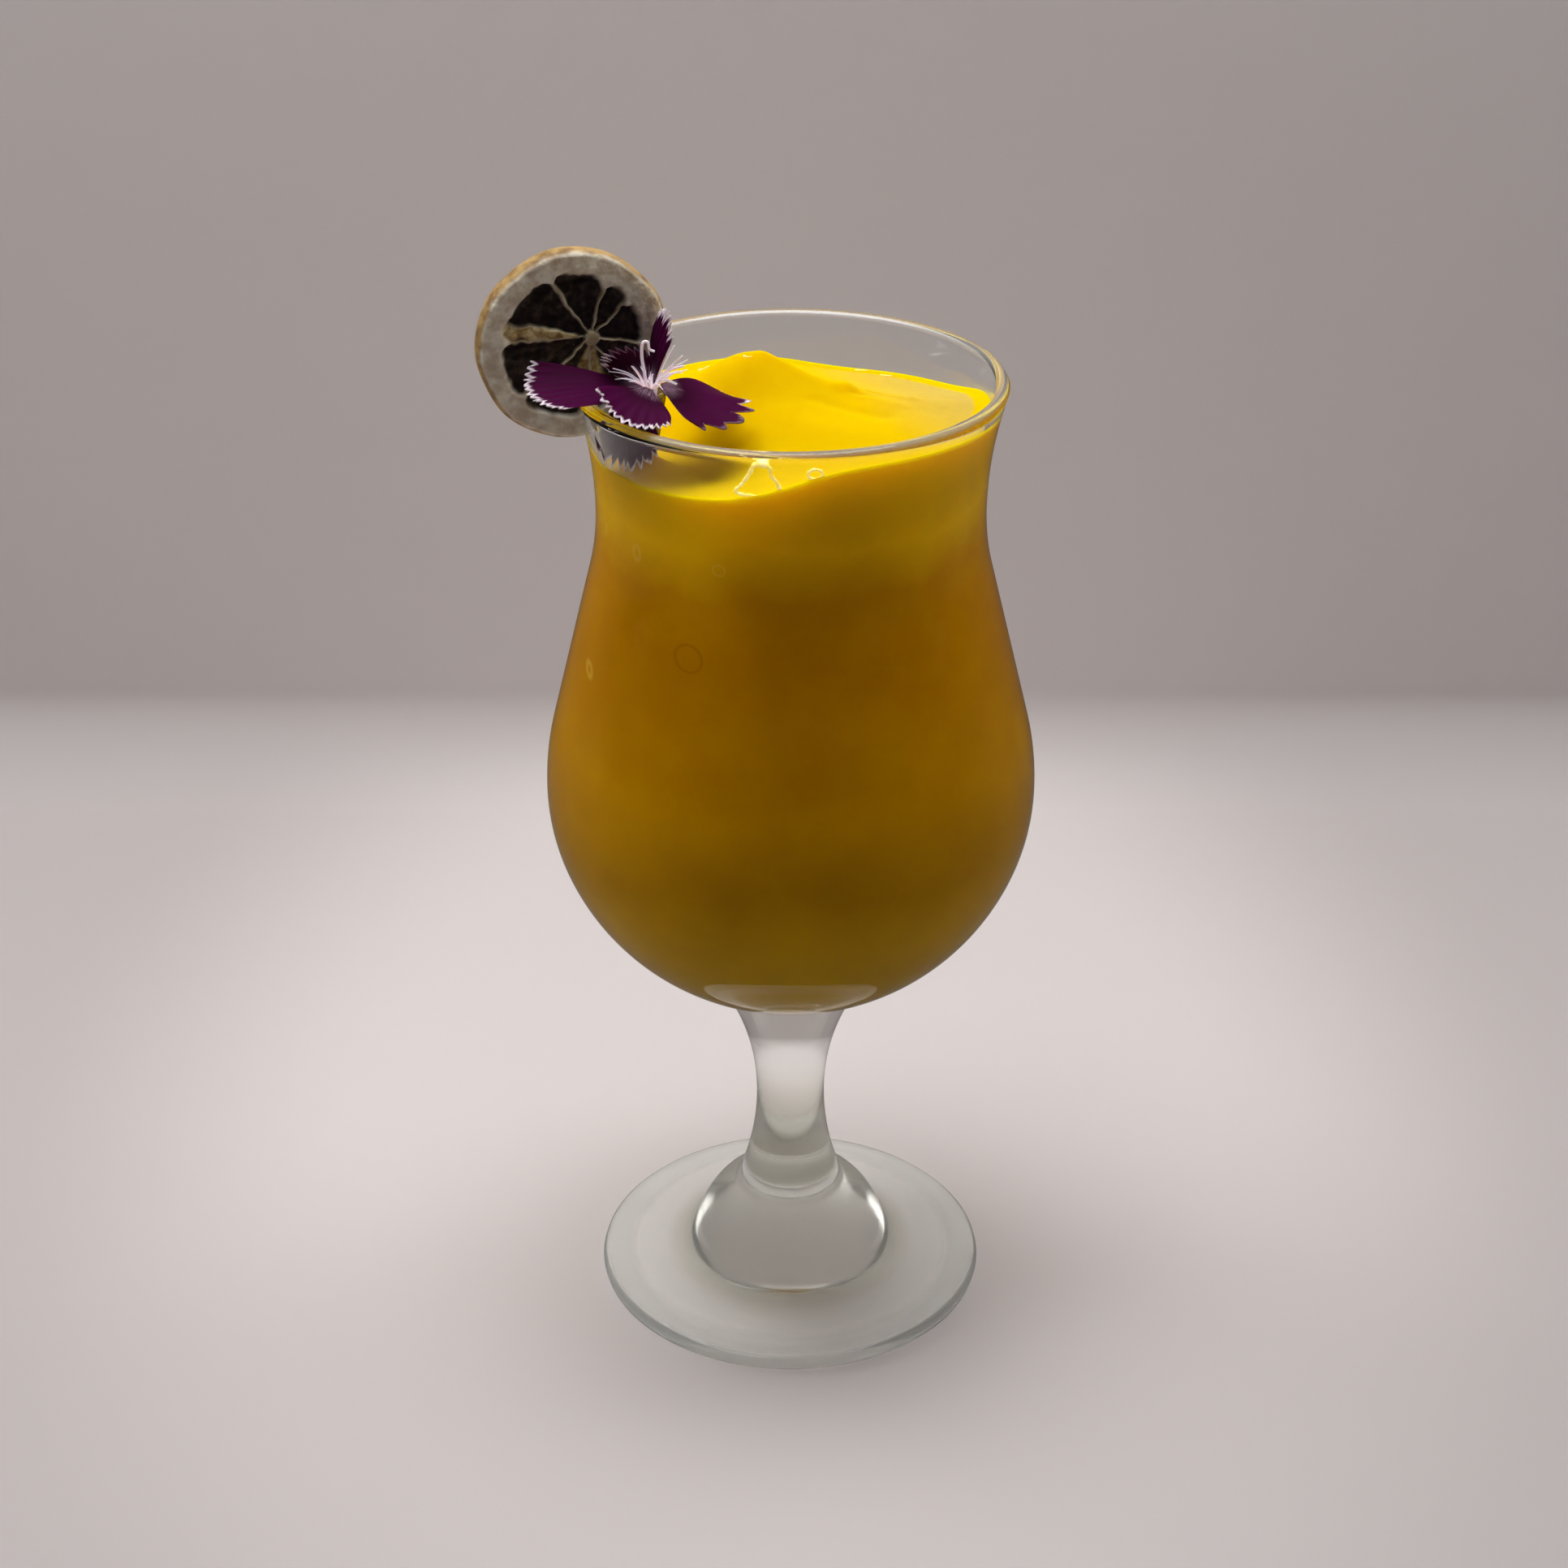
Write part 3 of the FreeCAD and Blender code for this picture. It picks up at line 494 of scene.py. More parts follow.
WHEEL_AZIMUTH = 200.0
throat_across = rim_radius(Glass.wall, lip_up) - Flower.throat_inset
throat_turn = math.degrees(math.asin(Flower.throat_beside / throat_across))
throat = polar(throat_across, WHEEL_AZIMUTH + throat_turn, Glass.height + Flower.throat_rise)


def hill(x, y, middle, reach, power=2.0):
    """A round hill of height 1."""
    away = np.hypot(x - middle[0], y - middle[1]) / reach
    return np.exp(-(away**power))


def surface_height(x, y):
    """Height of the drink's upper face, in millimetres."""
    high_side = polar(1, Drink.tilt_azimuth)
    reach = Glass.neck_radius - Glass.wall
    height = Drink.level + Drink.tilt * (x * high_side.x + y * high_side.y) / reach
    dip = polar(Drink.dip_radius, Drink.dip_azimuth)
    height -= Drink.dip_depth * hill(x, y, dip, Drink.dip_reach, 4)
    height += Drink.heap_rise * hill(x, y, throat, Drink.heap_reach)
    peak = polar(Drink.peak_radius, Drink.peak_azimuth)
    along = (peak.x * high_side.x + peak.y * high_side.y) / reach
    rise = Drink.peak_rise - Drink.tilt * along
    right, back = x - peak.x, y - peak.y
    stretch = 1 + 0.25 * (1 + np.tanh(right / Drink.peak_reach))
    wide = (right / stretch) ** 2 + back**2
    height += rise * Drink.mound_share * np.exp(-wide / Drink.mound_reach**2)
    steep = np.exp(-(right**2 + back**2) / Drink.peak_reach**2)
    height += rise * (1 - Drink.mound_share) * steep
    slump = polar(Drink.slump_radius, Drink.slump_azimuth)
    return height - Drink.slump * hill(x, y, slump, Drink.slump_reach, 4)


# %% Folds and grain on its surface
def clouds(points, scale, seed):
    """Smooth noise from -1 to 1 for each point, features of about this size in millimetres."""
    shift = Vector((seed * 7.3, seed * 3.1, seed * 5.7))
    return np.array([noise.noise(Vector(p) / scale + shift) for p in points])


# A fold is a low ridge from one place to another: x and y of each end, its height and half width.
FOLDS = (
    ((-4.0, 11.0), (9.0, 6.0), 0.9, 2.2),
    ((9.0, 6.0), (17.0, -1.0), 0.7, 1.8),
    ((4.0, 1.0), (15.0, -6.0), -0.5, 1.6),
    ((12.0, 8.0), (20.0, 3.0), 0.45, 1.1),
    ((10.0, 4.0), (17.0, 1.0), -0.45, 0.8),
    ((-10.0, 4.0), (-4.0, -8.0), 0.4, 2.4),
    ((-2.0, -4.0), (10.0, -14.0), 0.35, 2.6),
)


def folds(x, y):
    """Ridges and furrows that the spoon left."""
    total = np.zeros_like(x)
    for start, end, height, half in FOLDS:
        start, end = np.array(start), np.array(end)
        line = end - start
        share = ((x - start[0]) * line[0] + (y - start[1]) * line[1]) / (line @ line)
        inside = np.clip(share, 0, 1)
        away = np.hypot(x - start[0] - inside * line[0], y - start[1] - inside * line[1])
        total += height * np.exp(-((away / half) ** 2))
    return total


# %% Build the drink
DRINK_AROUND, TOP_RINGS, EDGE_RINGS, EDGE_FROM = 320, 96, 14, 158.0
CLING_RISE, CLING_REACH = 0.35, 0.8  # the drink's edge climbs the wall a little
CALM_REACH = 2.5  # beside the wall the surface is smooth
GRAINS = ((0.16, 6.0, 1), (0.05, 2.0, 2))  # height, size and seed of its grain


def build_drink():
    """Bowl-shaped below, heaped above, in one closed skin."""
    inset = Glass.wall - Drink.into_wall
    corners, sides = bowl_corners(inset)
    corners.append((rim_radius(inset, lip_up), lip_up))
    profile = run(corners, [*sides, (Glass.rim_curve + inset, RIGHT)])
    radii, heights = profile.T
    body = profile[(heights < EDGE_FROM) & (radii > 0)]
    cos, sin = np.cos(full_turn(DRINK_AROUND)), np.sin(full_turn(DRINK_AROUND))
    edge = np.full(DRINK_AROUND, Drink.level)
    for _ in range(6):  # the edge's height and its radius settle together
        radius = np.interp(edge, heights, radii)
        edge = surface_height(radius * cos, radius * sin) + CLING_RISE
    rings = [np.stack([r * cos, r * sin, np.full(DRINK_AROUND, z)], 1) for r, z in body]
    start = body[-1, 1]
    for step in range(1, EDGE_RINGS + 1):
        z = start + (edge - start) * step / EDGE_RINGS
        radius = np.interp(z, heights, radii)
        rings.append(np.stack([radius * cos, radius * sin, z], 1))
    wall_radius = np.interp(edge, heights, radii)
    for step in range(1, TOP_RINGS):
        share = 1 - step / TOP_RINGS
        x, y = wall_radius * share * cos, wall_radius * share * sin
        z = surface_height(x, y) + folds(x, y)
        from_wall = wall_radius * (1 - share)
        calm = 1 - np.exp(-((from_wall / CALM_REACH) ** 2))
        flat = np.stack([x, y, z], 1)
        z = z + calm * sum(rise * clouds(flat, size, seed) for rise, size, seed in GRAINS)
        z = z + CLING_RISE * np.exp(-from_wall / CLING_REACH)
        rings.append(np.stack([x, y, z], 1))
    points = np.vstack([*rings, [(0, 0, heights[0])], [rings[-1].mean(0)]])
    return new_piece("frozen_drink", points, closed_faces(len(rings), DRINK_AROUND))


# %% [markdown]
# ## Colour of the slush
#
# Mango pulp is a warm yellow, paler near the top, where air was beaten in, and amber deeper down.
# So the colour follows the height, with slow clouds so that no edge shows; part of it is painted
# light, a bright band just under the surface and a deeper amber in the middle, where the front of
# the glass is in shade. Froth makes the right side of the heap paler, a few flat bubbles are drawn
# as painted outlines against the wall, and subsurface light keeps the heap from looking like
# plastic.

# %% Drink material
material, place = new_material("mango_slush")
across, back, height = place.split()
depth = (height + (noise_at(place, 60.0) - 0.5) * 0.012).between(0.062, 0.176)
# From the bowl's floor, at 0, to the peak, at 1; the bright stop at 0.93 is painted light, and the
# amber from 0.25 to 0.74 is partly painted shade.
DEPTH_AND_PAINTED_LIGHT_COLORS = (
    (0.0, paint(214, 176, 12)), (0.25, paint(188, 139, 1)), (0.74, paint(188, 129, 1)),
    (0.85, paint(204, 146, 1)), (0.93, paint(244, 198, 2)), (1.0, paint(214, 172, 2)),
)
slush_color = depth.node("ValToRGB", {"stops": DEPTH_AND_PAINTED_LIGHT_COLORS}, {0: depth})
blotches = noise_at(place, 90.0).between(0.3, 0.75)
slush_color = (blotches * 0.12).mix(slush_color, paint(252, 200, 2))
# Froth lies on the right half of the surface and stays clear of the wall.
from_axis = (across * across + back * back) ** 0.5
froth = (across + back * 0.35).between(0.010, 0.032) * (1 - from_axis.between(0.029, 0.030))
froth = froth * height.between(0.160, 0.164)
slush_color = (froth * 0.65).mix(slush_color, paint(172, 152, 88))


def bubble(x, z, radius, tall=1.0):
    """A ring mask for the painted outline of a flat bubble against the front wall: place and radius
    in millimetres.
    """
    aside, along = across - x * MM, (height - z * MM) / tall
    away = (aside * aside + along * along) ** 0.5
    outline = 1 - away.math("ABSOLUTE", away - radius * MM).between(0.0, 0.35 * MM)
    return outline * (1 - back.between(-0.012, -0.008))


# Each one's x, height, radius and how many times taller than wide it is.
SMALL_BUBBLES = (
    (-11.0, 153.3, 0.9, 1.0), (-23.7, 152.3, 0.5, 2.4),
    (-29.0, 153.0, 0.5, 2.8), (-32.0, 129.0, 0.4, 2.4),
)
small_bubble_highlights = sum(bubble(*one) for one in SMALL_BUBBLES)
# The big bubble's ring is painted shade, and the small bubbles' rings are painted highlights.
slush_color = (bubble(-15.9, 138.0, 2.1) * 0.3).mix(slush_color, paint(120, 70, 1))
slush_color = (small_bubble_highlights * 0.3).mix(slush_color, paint(255, 226, 90))
grain, lumps = noise_at(place, 900.0), noise_at(place, 180.0)
finish(place, principled(place, {
    "Base Color": slush_color,
    "Roughness": 0.5, "IOR": 1.36, "Specular IOR Level": 0.0,
    "Subsurface Weight": 0.6,
    "Subsurface Radius": (1.0, 0.6, 0.02),
    "Subsurface Scale": 0.008,
    "Normal": bump(lumps + grain * 0.1, 0.18, 0.0004),
}))

give(build_drink(), material, "mango_slush", "daiquiri")

# %% [markdown]
# ## The dried citrus wheel
#
# A slice dried in a slow oven: the rind has shrunk to a hard golden edge, the pith is a pale
# ring, and the pulp has sunk and turned nearly black between its membranes. It could be sculpted,
# but its parts are all measured from a circle and a few lines, so each face is a height over a
# polar grid, and the same distances give the colour masks.


# %% Sizes of the wheel
class Wheel:
    """Millimetres and degrees; x points away from the glass and y up."""

    radius, waviness, half_thickness, edge_round = 15.35, 0.3, 2.0, 1.0
    rise, overhang = 9.7, 2.2
    pulp_radius, pulp_x, pulp_sunk = 11.6, 0.3, 1.1
    core_x, core_y, core_radius = -2.9, 0.9, 1.2
    membranes = (4.0, 57.3, 104.0, 138.0, 192.5, 240.0, 279.0, 323.5)
    flap_from, flap_to = 2.0, 24.0
    fibres_from, fibres_to, fibres_reach = 58.0, 112.0, 9.5
    slit_gap = 0.25


WHEEL_AROUND, WHEEL_RINGS = 384, 78
RADIAN = 57.3  # in degrees


def step_up(value, low, high):
    """A soft step from 0 to 1 in numbers, as Signal.between is in shaders."""
    share = np.clip((value - low) / (high - low), 0, 1)
    return share * share * (3 - 2 * share)


def wheel_outline(turn):
    """Radius of the shrunken rind in each direction."""
    waves = np.sin(2 * turn + 0.6) + 0.6 * np.sin(5 * turn) + 0.5 * np.sin(9 * turn + 2)
    return Wheel.radius + Wheel.waviness * waves / 2


# %% Heights and masks of one face
def wheel_face(x, y, seed):
    """Half thickness of the slice at each place, and its masks."""
    flat = np.stack([x, y, np.full_like(x, seed * 9.0)], 1)
    turn, away = np.arctan2(y, x), np.hypot(x, y)
    from_edge = wheel_outline(turn) - away
    rough = clouds(flat, 1.6, seed) * 0.16 + clouds(flat, 0.6, seed + 3) * 0.06
    pith_wave = 0.45 * clouds(flat, 3.0, seed + 5) + 0.3 * clouds(flat, 1.2, seed + 6)
    into_pulp = Wheel.pulp_radius - np.hypot(x - Wheel.pulp_x, y) + pith_wave
    pulp = step_up(into_pulp, -0.2, 0.7)
    across, over = x - Wheel.core_x, y - Wheel.core_y
    from_core = np.hypot(across, over)
    bend = 0.6 * clouds(flat, 3.0, seed + 7) + 0.25 * clouds(flat, 1.3, seed + 8)
    ridge = np.zeros_like(x)
    width = 0.1 + 0.017 * from_core
    for direction in Wheel.membranes:
        cos, sin = math.cos(math.radians(direction)), math.sin(math.radians(direction))
        along, aside = across * cos + over * sin, over * cos - across * sin
        ridge = np.maximum(ridge, np.exp(-(((aside + bend) / width) ** 2)) * (along > 0))
    core = step_up(Wheel.core_radius + 0.3 - from_core, 0, 0.6)
    # One segment beside the first membrane dried to a clear golden flap instead of sinking.
    flap_turn = np.degrees(np.arctan2(over, across))
    flap_edge = flap_turn + 5 * clouds(flat, 2.2, seed + 13)
    flap = step_up(flap_edge, Wheel.flap_from, Wheel.flap_from + 3)
    flap = flap * step_up(Wheel.flap_to - 0.5 * from_core - flap_edge, 0, 5)
    flap = flap * step_up(from_core, 1.5, 3.0)
    # Golden fibres hang below the core.
    low_turn = np.degrees(np.arctan2(-over, across))
    fibres = step_up(low_turn, Wheel.fibres_from, Wheel.fibres_from + 12)
    fibres = fibres * step_up(Wheel.fibres_to - low_turn, 0, 12)
    fibres = fibres * step_up(Wheel.fibres_reach - from_core, 0, 4)
    # The pulp of each segment shrank away from the rind at its corners, so its outline is lobed.
    corner = np.abs(((flap_turn[..., None] - np.array(Wheel.membranes) + 180) % 360) - 180).min(-1)
    from_membrane = corner * from_core / RADIAN
    pulp = pulp * step_up(from_membrane + 0.9 * into_pulp + 0.4 * pith_wave, 0.9, 1.6)
    kept = np.maximum(np.maximum(ridge, core), flap * 0.9)
    sunk = pulp * (1 - kept)
    wrinkles = 0.22 * clouds(flat, 1.1, seed + 9)
    wrinkles = wrinkles + 0.15 * clouds(flat * (1, 2.5, 1), 2.0, seed + 11)
    height = Wheel.half_thickness + rough - sunk * (Wheel.pulp_sunk + wrinkles)
    height = height - 0.35 * pulp * kept
    rounding = np.clip(1 - from_edge / Wheel.edge_round, 0, 1)
    height = height * np.sqrt(np.clip(1 - rounding**2, 0, 1))
    masks = {
        "pulp": sunk,
        "peel": step_up(0.75 + 0.5 * pith_wave - from_edge, 0, 0.5),
        "fibre": pulp * np.maximum(ridge, core),
        "golden": pulp * np.maximum(flap, fibres * 0.8 * (1 - ridge)),
    }
    return height, masks


# %% Build the wheel
def wheel_matrix():
    """The wheel's place: upright, astride the lip, facing along the rim."""
    lip = (rim_radius(0, lip_up) + rim_radius(Glass.wall, lip_up)) / 2
    turn = Euler((math.pi / 2, 0, math.radians(WHEEL_AZIMUTH))).to_matrix().to_4x4()
    place = polar(lip + Wheel.overhang, WHEEL_AZIMUTH, Glass.height + Wheel.rise)
    return Matrix.Translation(place) @ turn


def build_wheel():
    """Both faces on one polar grid, joined round the rind."""
    angles = full_turn(WHEEL_AROUND)
    shares = np.append((np.arange(WHEEL_RINGS) + 0.5) / WHEEL_RINGS, 1.0)
    reach = wheel_outline(angles)
    x = (shares[:, None] * reach * np.cos(angles)).ravel()
    y = (shares[:, None] * reach * np.sin(angles)).ravel()
    points, masks = [], []
    for side, seed in ((-1, 1), (1, 2)):
        height, found = wheel_face(x, y, seed)
        points.append(np.stack([x, y, side * height], 1))
        masks.append(found)
    count, rings = len(x), len(shares)
    front, back = points
    faces = ring_faces(rings, WHEEL_AROUND)
    faces += [tuple(i + count for i in reversed(f)) for f in faces]
    middle = len(front) + len(back)
    centers = np.array([front[:WHEEL_AROUND].mean(0), back[:WHEEL_AROUND].mean(0)])
    last = (rings - 1) * WHEEL_AROUND
    for i in range(WHEEL_AROUND):
        j = (i + 1) % WHEEL_AROUND
        faces.append((middle, j, i))
        faces.append((middle + 1, count + i, count + j))
        faces.append((last + i, last + j, count + last + j, count + last + i))
    local = np.vstack([front, back, centers])
    matrix = np.array(wheel_matrix())
    world = local @ matrix[:3, :3].T + matrix[:3, 3]
    piece = new_piece("citrus_slice", world, faces)
    in_middle = [0.0, 0.0]
    both = {name: np.concatenate([masks[0][name], masks[1][name], in_middle]) for name in masks[0]}
    store_masks(piece, both)
    return piece


# %% [markdown]
# ## The slit for the rim
#
# The slice is cut part way in, and the glass's lip slides into the cut. The cutter is the wall's
# own section with a little room round it, so the slit always fits the glass. A Boolean modifier
# takes it out and the result is kept as plain mesh.

# %% Cut the slit
CUT_DEPTH, CUT_TURN = 14.0, 9


def rim_cutter():
    """A short curved bar: the wall's section near the lip, wider by the slit's gap."""
    low, high = Glass.height - CUT_DEPTH, Glass.height + Wheel.slit_gap
    heights = np.linspace(low, high, 12)
    outer = [(rim_radius(-Wheel.slit_gap, z), z) for z in heights]
    inner = [(rim_radius(Glass.wall + Wheel.slit_gap, z), z) for z in heights[::-1]]
    section = outer + inner
    steps = np.radians(np.linspace(WHEEL_AZIMUTH - CUT_TURN, WHEEL_AZIMUTH + CUT_TURN, 13))
    points = [(r * math.cos(a), r * math.sin(a), z) for a in steps for r, z in section]
    around = len(section)
    faces = [face[::-1] for face in ring_faces(len(steps), around)]
    faces += [tuple(range(around)), tuple(range(len(points) - around, len(points)))[::-1]]
    return new_piece("rim_cutter", points, faces, smooth=False)


def applied(piece):
    """Replace a piece's mesh by what its modifiers make of it."""
    bpy.context.view_layer.update()
    state = bpy.context.evaluated_depsgraph_get()
    made = piece.evaluated_get(state)
    mesh = bpy.data.meshes.new_from_object(made, preserve_all_data_layers=True, depsgraph=state)
    piece.modifiers.clear()
    piece.data = mesh


wheel = build_wheel()
cutter = rim_cutter()
cut = wheel.modifiers.new("slit", "BOOLEAN")
cut.operation, cut.object, cut.solver = "DIFFERENCE", cutter, "EXACT"
applied(wheel)
bpy.data.objects.remove(cutter)
print("wheel after its slit:", len(wheel.data.polygons), "faces")

# %% [markdown]
# ## Dried rind, pith and pulp
#
# The masks that the mesh carries choose between the finishes. The peel is golden with darker
# spots, the pith a leathery cream with fine fibres, the pulp almost black and a little shiny
# where juice dried on it, and the golden flap is as glossy as varnish.

# %% Wheel material
material, place = new_material("dried_citrus")
pulp, peel, fibre, golden = masks_of(place, "pulp", "peel", "fibre", "golden")
mottle = noise_at(place, 420.0, detail=5.0)
fine = noise_at(place, 1800.0, detail=4.0)
pith_color = mottle.between(0.36, 0.64).mix(paint(220, 204, 180), paint(255, 248, 228))
peel_color = noise_at(place, 300.0).between(0.4, 0.62).mix(paint(188, 154, 98), paint(142, 110, 66))
dried_juice = noise_at(place, 520.0, detail=5.0).between(0.42, 0.72)
pulp_color = dried_juice.mix(paint(34, 24, 25), paint(82, 66, 56))
fibre_color = mottle.between(0.35, 0.7).mix(paint(206, 188, 146), paint(236, 222, 188))
golden_color = mottle.between(0.4, 0.62).mix(paint(160, 122, 56), paint(250, 230, 168))
wheel_color = pith_color
layers = ((peel, peel_color), (pulp, pulp_color), (golden, golden_color), (fibre, fibre_color))
for mask, color in layers:
    wheel_color = mask.mix(wheel_color, color)
finish(place, principled(place, {
    "Base Color": wheel_color,
    "Roughness": 0.72 - pulp * 0.3 - golden * 0.35,
    "Specular IOR Level": 0.3,
    "Coat Weight": golden * 0.8 + pulp * 0.15,
    "Coat Roughness": 0.15,
    "Subsurface Weight": 0.08,
    "Subsurface Radius": (1.0, 0.6, 0.25),
    "Subsurface Scale": 0.002,
    "Normal": bump(mottle + fine * 0.5, 0.55, 0.0004),
}))
give(wheel, material, "dried_citrus", "citrus_wheel")

# %% [markdown]
# ## The fringed pink
#
# A pink has five petals on narrow claws, each cut into teeth along a white edge, and here a sixth
# blade is bent down inside the glass. Every petal is the same fan: a point is found by how far it
# lies across and along the fan, then the fan is curled, cupped and turned into place. The bent
# blade shows its back, which is paler than a petal's face.

# %% Petals
# Direction, rise, roll, then length, width, droop, cupping and skew, then the number of teeth.
PETALS = {
    "petal_left": (210.9, 12.6, -18.4, 19.1, 13.1, 2.85, 2.3, -0.02, 15),
    "petal_front": (259.5, -1.7, -23.8, 12.2, 13.4, 1.65, 2.2, -0.08, 13),
    "petal_right": (8.6, -31.4, 10.8, 15.0, 21.0, -3.3, -3.5, 0.26, 7),
    "petal_upright": (84.7, 101.0, 112.0, 12.0, 10.0, -3.4, 0.0, 0.03, 10),
    "petal_back": (144.6, 64.6, -72.0, 7.2, 8.6, -7.0, -0.9, -0.02, 9),
    "petal_tucked": (219.2, -95.5, -18.6, 12.4, 12.5, -1.8, -1.2, -0.07, 9),
}
HALF_WHITE = ("petal_right", "petal_back")  # their fringe is white at one end only
TUCKED_BESIDE, TUCKED_AZIMUTH = 3.4, 197.6
PETAL_ACROSS, PETAL_ALONG = 180, 34
CLAW_HALF, PETAL_THICKNESS = 0.65, 0.36
# What bends the plain fan: where it is widest, how round its tip is, how its sides bow, and three
# sizes of ripple.
WIDEST, ROUND_TIP, BOW, FLUTTER, CRIMP, RIPPLE = 0.92, 0.08, 0.07, 0.35, 0.12, 0.08


def teeth_depth(across, teeth, seed):
    """How far the fringe is cut in at each place: uneven teeth, each with a finer one in it."""
    dice = random.Random(seed)
    edges = np.cumsum([0.6 + 0.8 * dice.random() for _ in range(teeth)])
    edges = np.concatenate([[0], edges]) / edges[-1] * 2 - 1
    depths = [(0.8 + 1.1 * dice.random()) * 12 / teeth for _ in range(teeth)]
    cut = np.zeros_like(across)
    for start, end, depth in zip(edges, edges[1:], depths):
        inside = (across >= start) & (across <= end)
        share = (across - start) / (end - start)
        notch = np.abs(2 * share - 1) ** 1.3
        cut = np.where(inside, depth * notch, cut)
    return cut + 0.14 * np.abs(np.sin(across * teeth * 4.3 + seed))


def rotation(degrees, axis):
    return Matrix.Rotation(math.radians(degrees), 3, axis)


def build_petal(name, shape, seed):
    """One petal as a thin closed blade, with its masks and a map along and across it."""
    azimuth, rise, roll, length, width, droop, cup, skew, teeth = shape
    fan = math.asin(min(0.95, width / 2 / (WIDEST * length)))
    across, along = np.meshgrid(np.linspace(-1, 1, PETAL_ACROSS), np.linspace(0, 1, PETAL_ALONG))
    cut = teeth_depth(across, teeth, seed)
    reach = length * (1 - ROUND_TIP * across**2 + skew * across) + 0.15 - cut * along**6
    spread = along * (1 - 0.04 * np.sin(np.pi * along))
    x = reach * np.cos(fan * across) * spread
    bow = BOW * width * across * np.abs(across) * np.sin(np.pi * along)
    y = CLAW_HALF * across * (1 - along) + reach * np.sin(fan * across) * spread + bow
    bend = -droop * (x / length) ** 2 + cup * (2 * y / width) ** 2 * x / length
    bend += FLUTTER * np.sin(4 * y / width + seed) * (x / length) ** 2
    crimp = CRIMP * along**3 * np.sin(across * teeth * 1.7 + seed)
    bend += crimp + RIPPLE * np.sin(6 * across) * along
    half = PETAL_THICKNESS / 2 * (1 - 0.55 * along)
    edge = 1 - np.abs(across) ** 24
    bend += PETAL_THICKNESS / 2
    lower = np.stack([x, y, bend - half * edge], 2).reshape(-1, 3)
    upper = np.stack([x, y, bend + half * edge], 2).reshape(-1, 3)
    turn = rotation(azimuth, "Z") @ rotation(-rise, "Y") @ rotation(roll, "X")
    lean = rotation(Flower.lean, polar(1, Flower.lean_azimuth + 90))
    foot = throat + lean @ UP * Flower.claw_seat + polar(Flower.mouth * 0.6, azimuth)
    if name == "petal_tucked":
        foot = throat + polar(TUCKED_BESIDE, TUCKED_AZIMUTH)
    points = np.vstack([lower, upper]) @ np.array(turn).T + np.array(foot)
    count = len(lower)
    sheet = ring_faces(PETAL_ALONG, PETAL_ACROSS, closed=False)
    faces = sheet + [tuple(i + count for i in reversed(f)) for f in sheet]
    grid = np.arange(count).reshape(PETAL_ALONG, PETAL_ACROSS)
    rim = np.concatenate([grid[0], grid[1:, -1], grid[-1, -2::-1], grid[-2:0:-1, 0]]).tolist()
    for here, there in zip(rim, rim[1:] + rim[:1]):
        faces.append((there, here, here + count, there + count))
    piece = new_piece(name.replace("petal", "pink_petal"), points, faces)
    on_both = {
        "dark_fringe": step_up(0.3 - across, 0, 0.25) * (name in HALF_WHITE),
        "from_fringe": (1 - along) * reach,
        "from_throat": along * length,
        "across": across * width / 2,
    }
    masks = {key: np.tile(values.ravel(), 2) for key, values in on_both.items()}
    masks["underside"] = np.repeat([1.0, 0.0], count) * (name == "petal_tucked")
    store_masks(piece, masks)
    return piece


# %% [markdown]
# ## Velvet petals with a white fringe
#
# The face of the petal is a deep wine purple that turns magenta where light passes through, so
# some of the colour comes from a little subsurface. The white edge follows the teeth unevenly,
# and streaks run from the throat along the petal, because veins do.

# %% Petal material
material, place = new_material("petal_purple")
from_fringe, from_throat, underside, aside, dark_fringe = masks_of(
    place, "from_fringe", "from_throat", "underside", "across", "dark_fringe"
)
lengthwise = {0: aside, 1: from_throat * 0.12, 2: underside * 3.0}
veins = noise_at(place.node("CombineXYZ", inputs=lengthwise), 3.2, 4.0, roughness=0.6)
face_color = veins.between(0.2, 0.9).mix(paint(62, 0, 42), paint(74, 1, 62))
face_color = from_throat.between(1.5, 9.0).mix(paint(48, 0, 30), face_color)
back_color = veins.between(0.35, 0.65).mix(paint(104, 84, 92), paint(196, 182, 184))
white_edge = 1 - (from_fringe + (veins - 0.5) * 2.6).between(0.2, 0.95)
white_edge = white_edge * (1 - underside * 0.6) * (1 - dark_fringe * 0.85)
throat_streak = (1 - from_throat.between(1.0, 4.2)) * veins.between(0.45, 0.62)
petal_color = underside.mix(face_color, back_color)
petal_color = throat_streak.mix(petal_color, paint(214, 176, 204))
petal_color = white_edge.mix(petal_color, paint(246, 232, 242))
finish(place, principled(place, {
    "Base Color": petal_color,
    "Roughness": 0.6,
    "Specular IOR Level": 0.06,
    "Subsurface Weight": 0.06,
    "Subsurface Radius": (1.0, 0.05, 0.6),
    "Subsurface Scale": 0.001,
    "Normal": bump(veins, 0.06, 0.0002),
}))

for seed, (name, shape) in enumerate(PETALS.items(), start=1):
    give(build_petal(name, shape, seed), material, "petal_purple", name)


# %% [markdown]
# ## Styles, hairs and calyx
#
# The three long threads are the flower's styles, which curl at their tips. Round them stand many
# finer hairs. Each is a tapering tube swept along a smooth curve through a few points, and all
# hairs are joined into one piece. They are so thin that they let light through, which a faint
# glow of their own stands for. The calyx under the petals is the CAD solid itself, straw green.


# %% Threads
def between_knots(a, b, c, d, share):
    """A smooth curve from b to c that heads the way a and d say."""
    curve = 0.5 * (2 * b + (c - a) * share + (2 * a - 5 * b + 4 * c - d) * share**2)
    return curve + 0.5 * (3 * b - a - 3 * c + d) * share**3


NO_THREAD_LINE = Vector((0.3, 0.9, 0.2))  # a direction that no thread follows


def rope_ring(middle, thick, side, other, around):
    """One ring of points round a rope's middle."""
    turns = (2 * math.pi * k / around for k in range(around))
    return [middle + thick * (side * math.cos(t) + other * math.sin(t)) for t in turns]


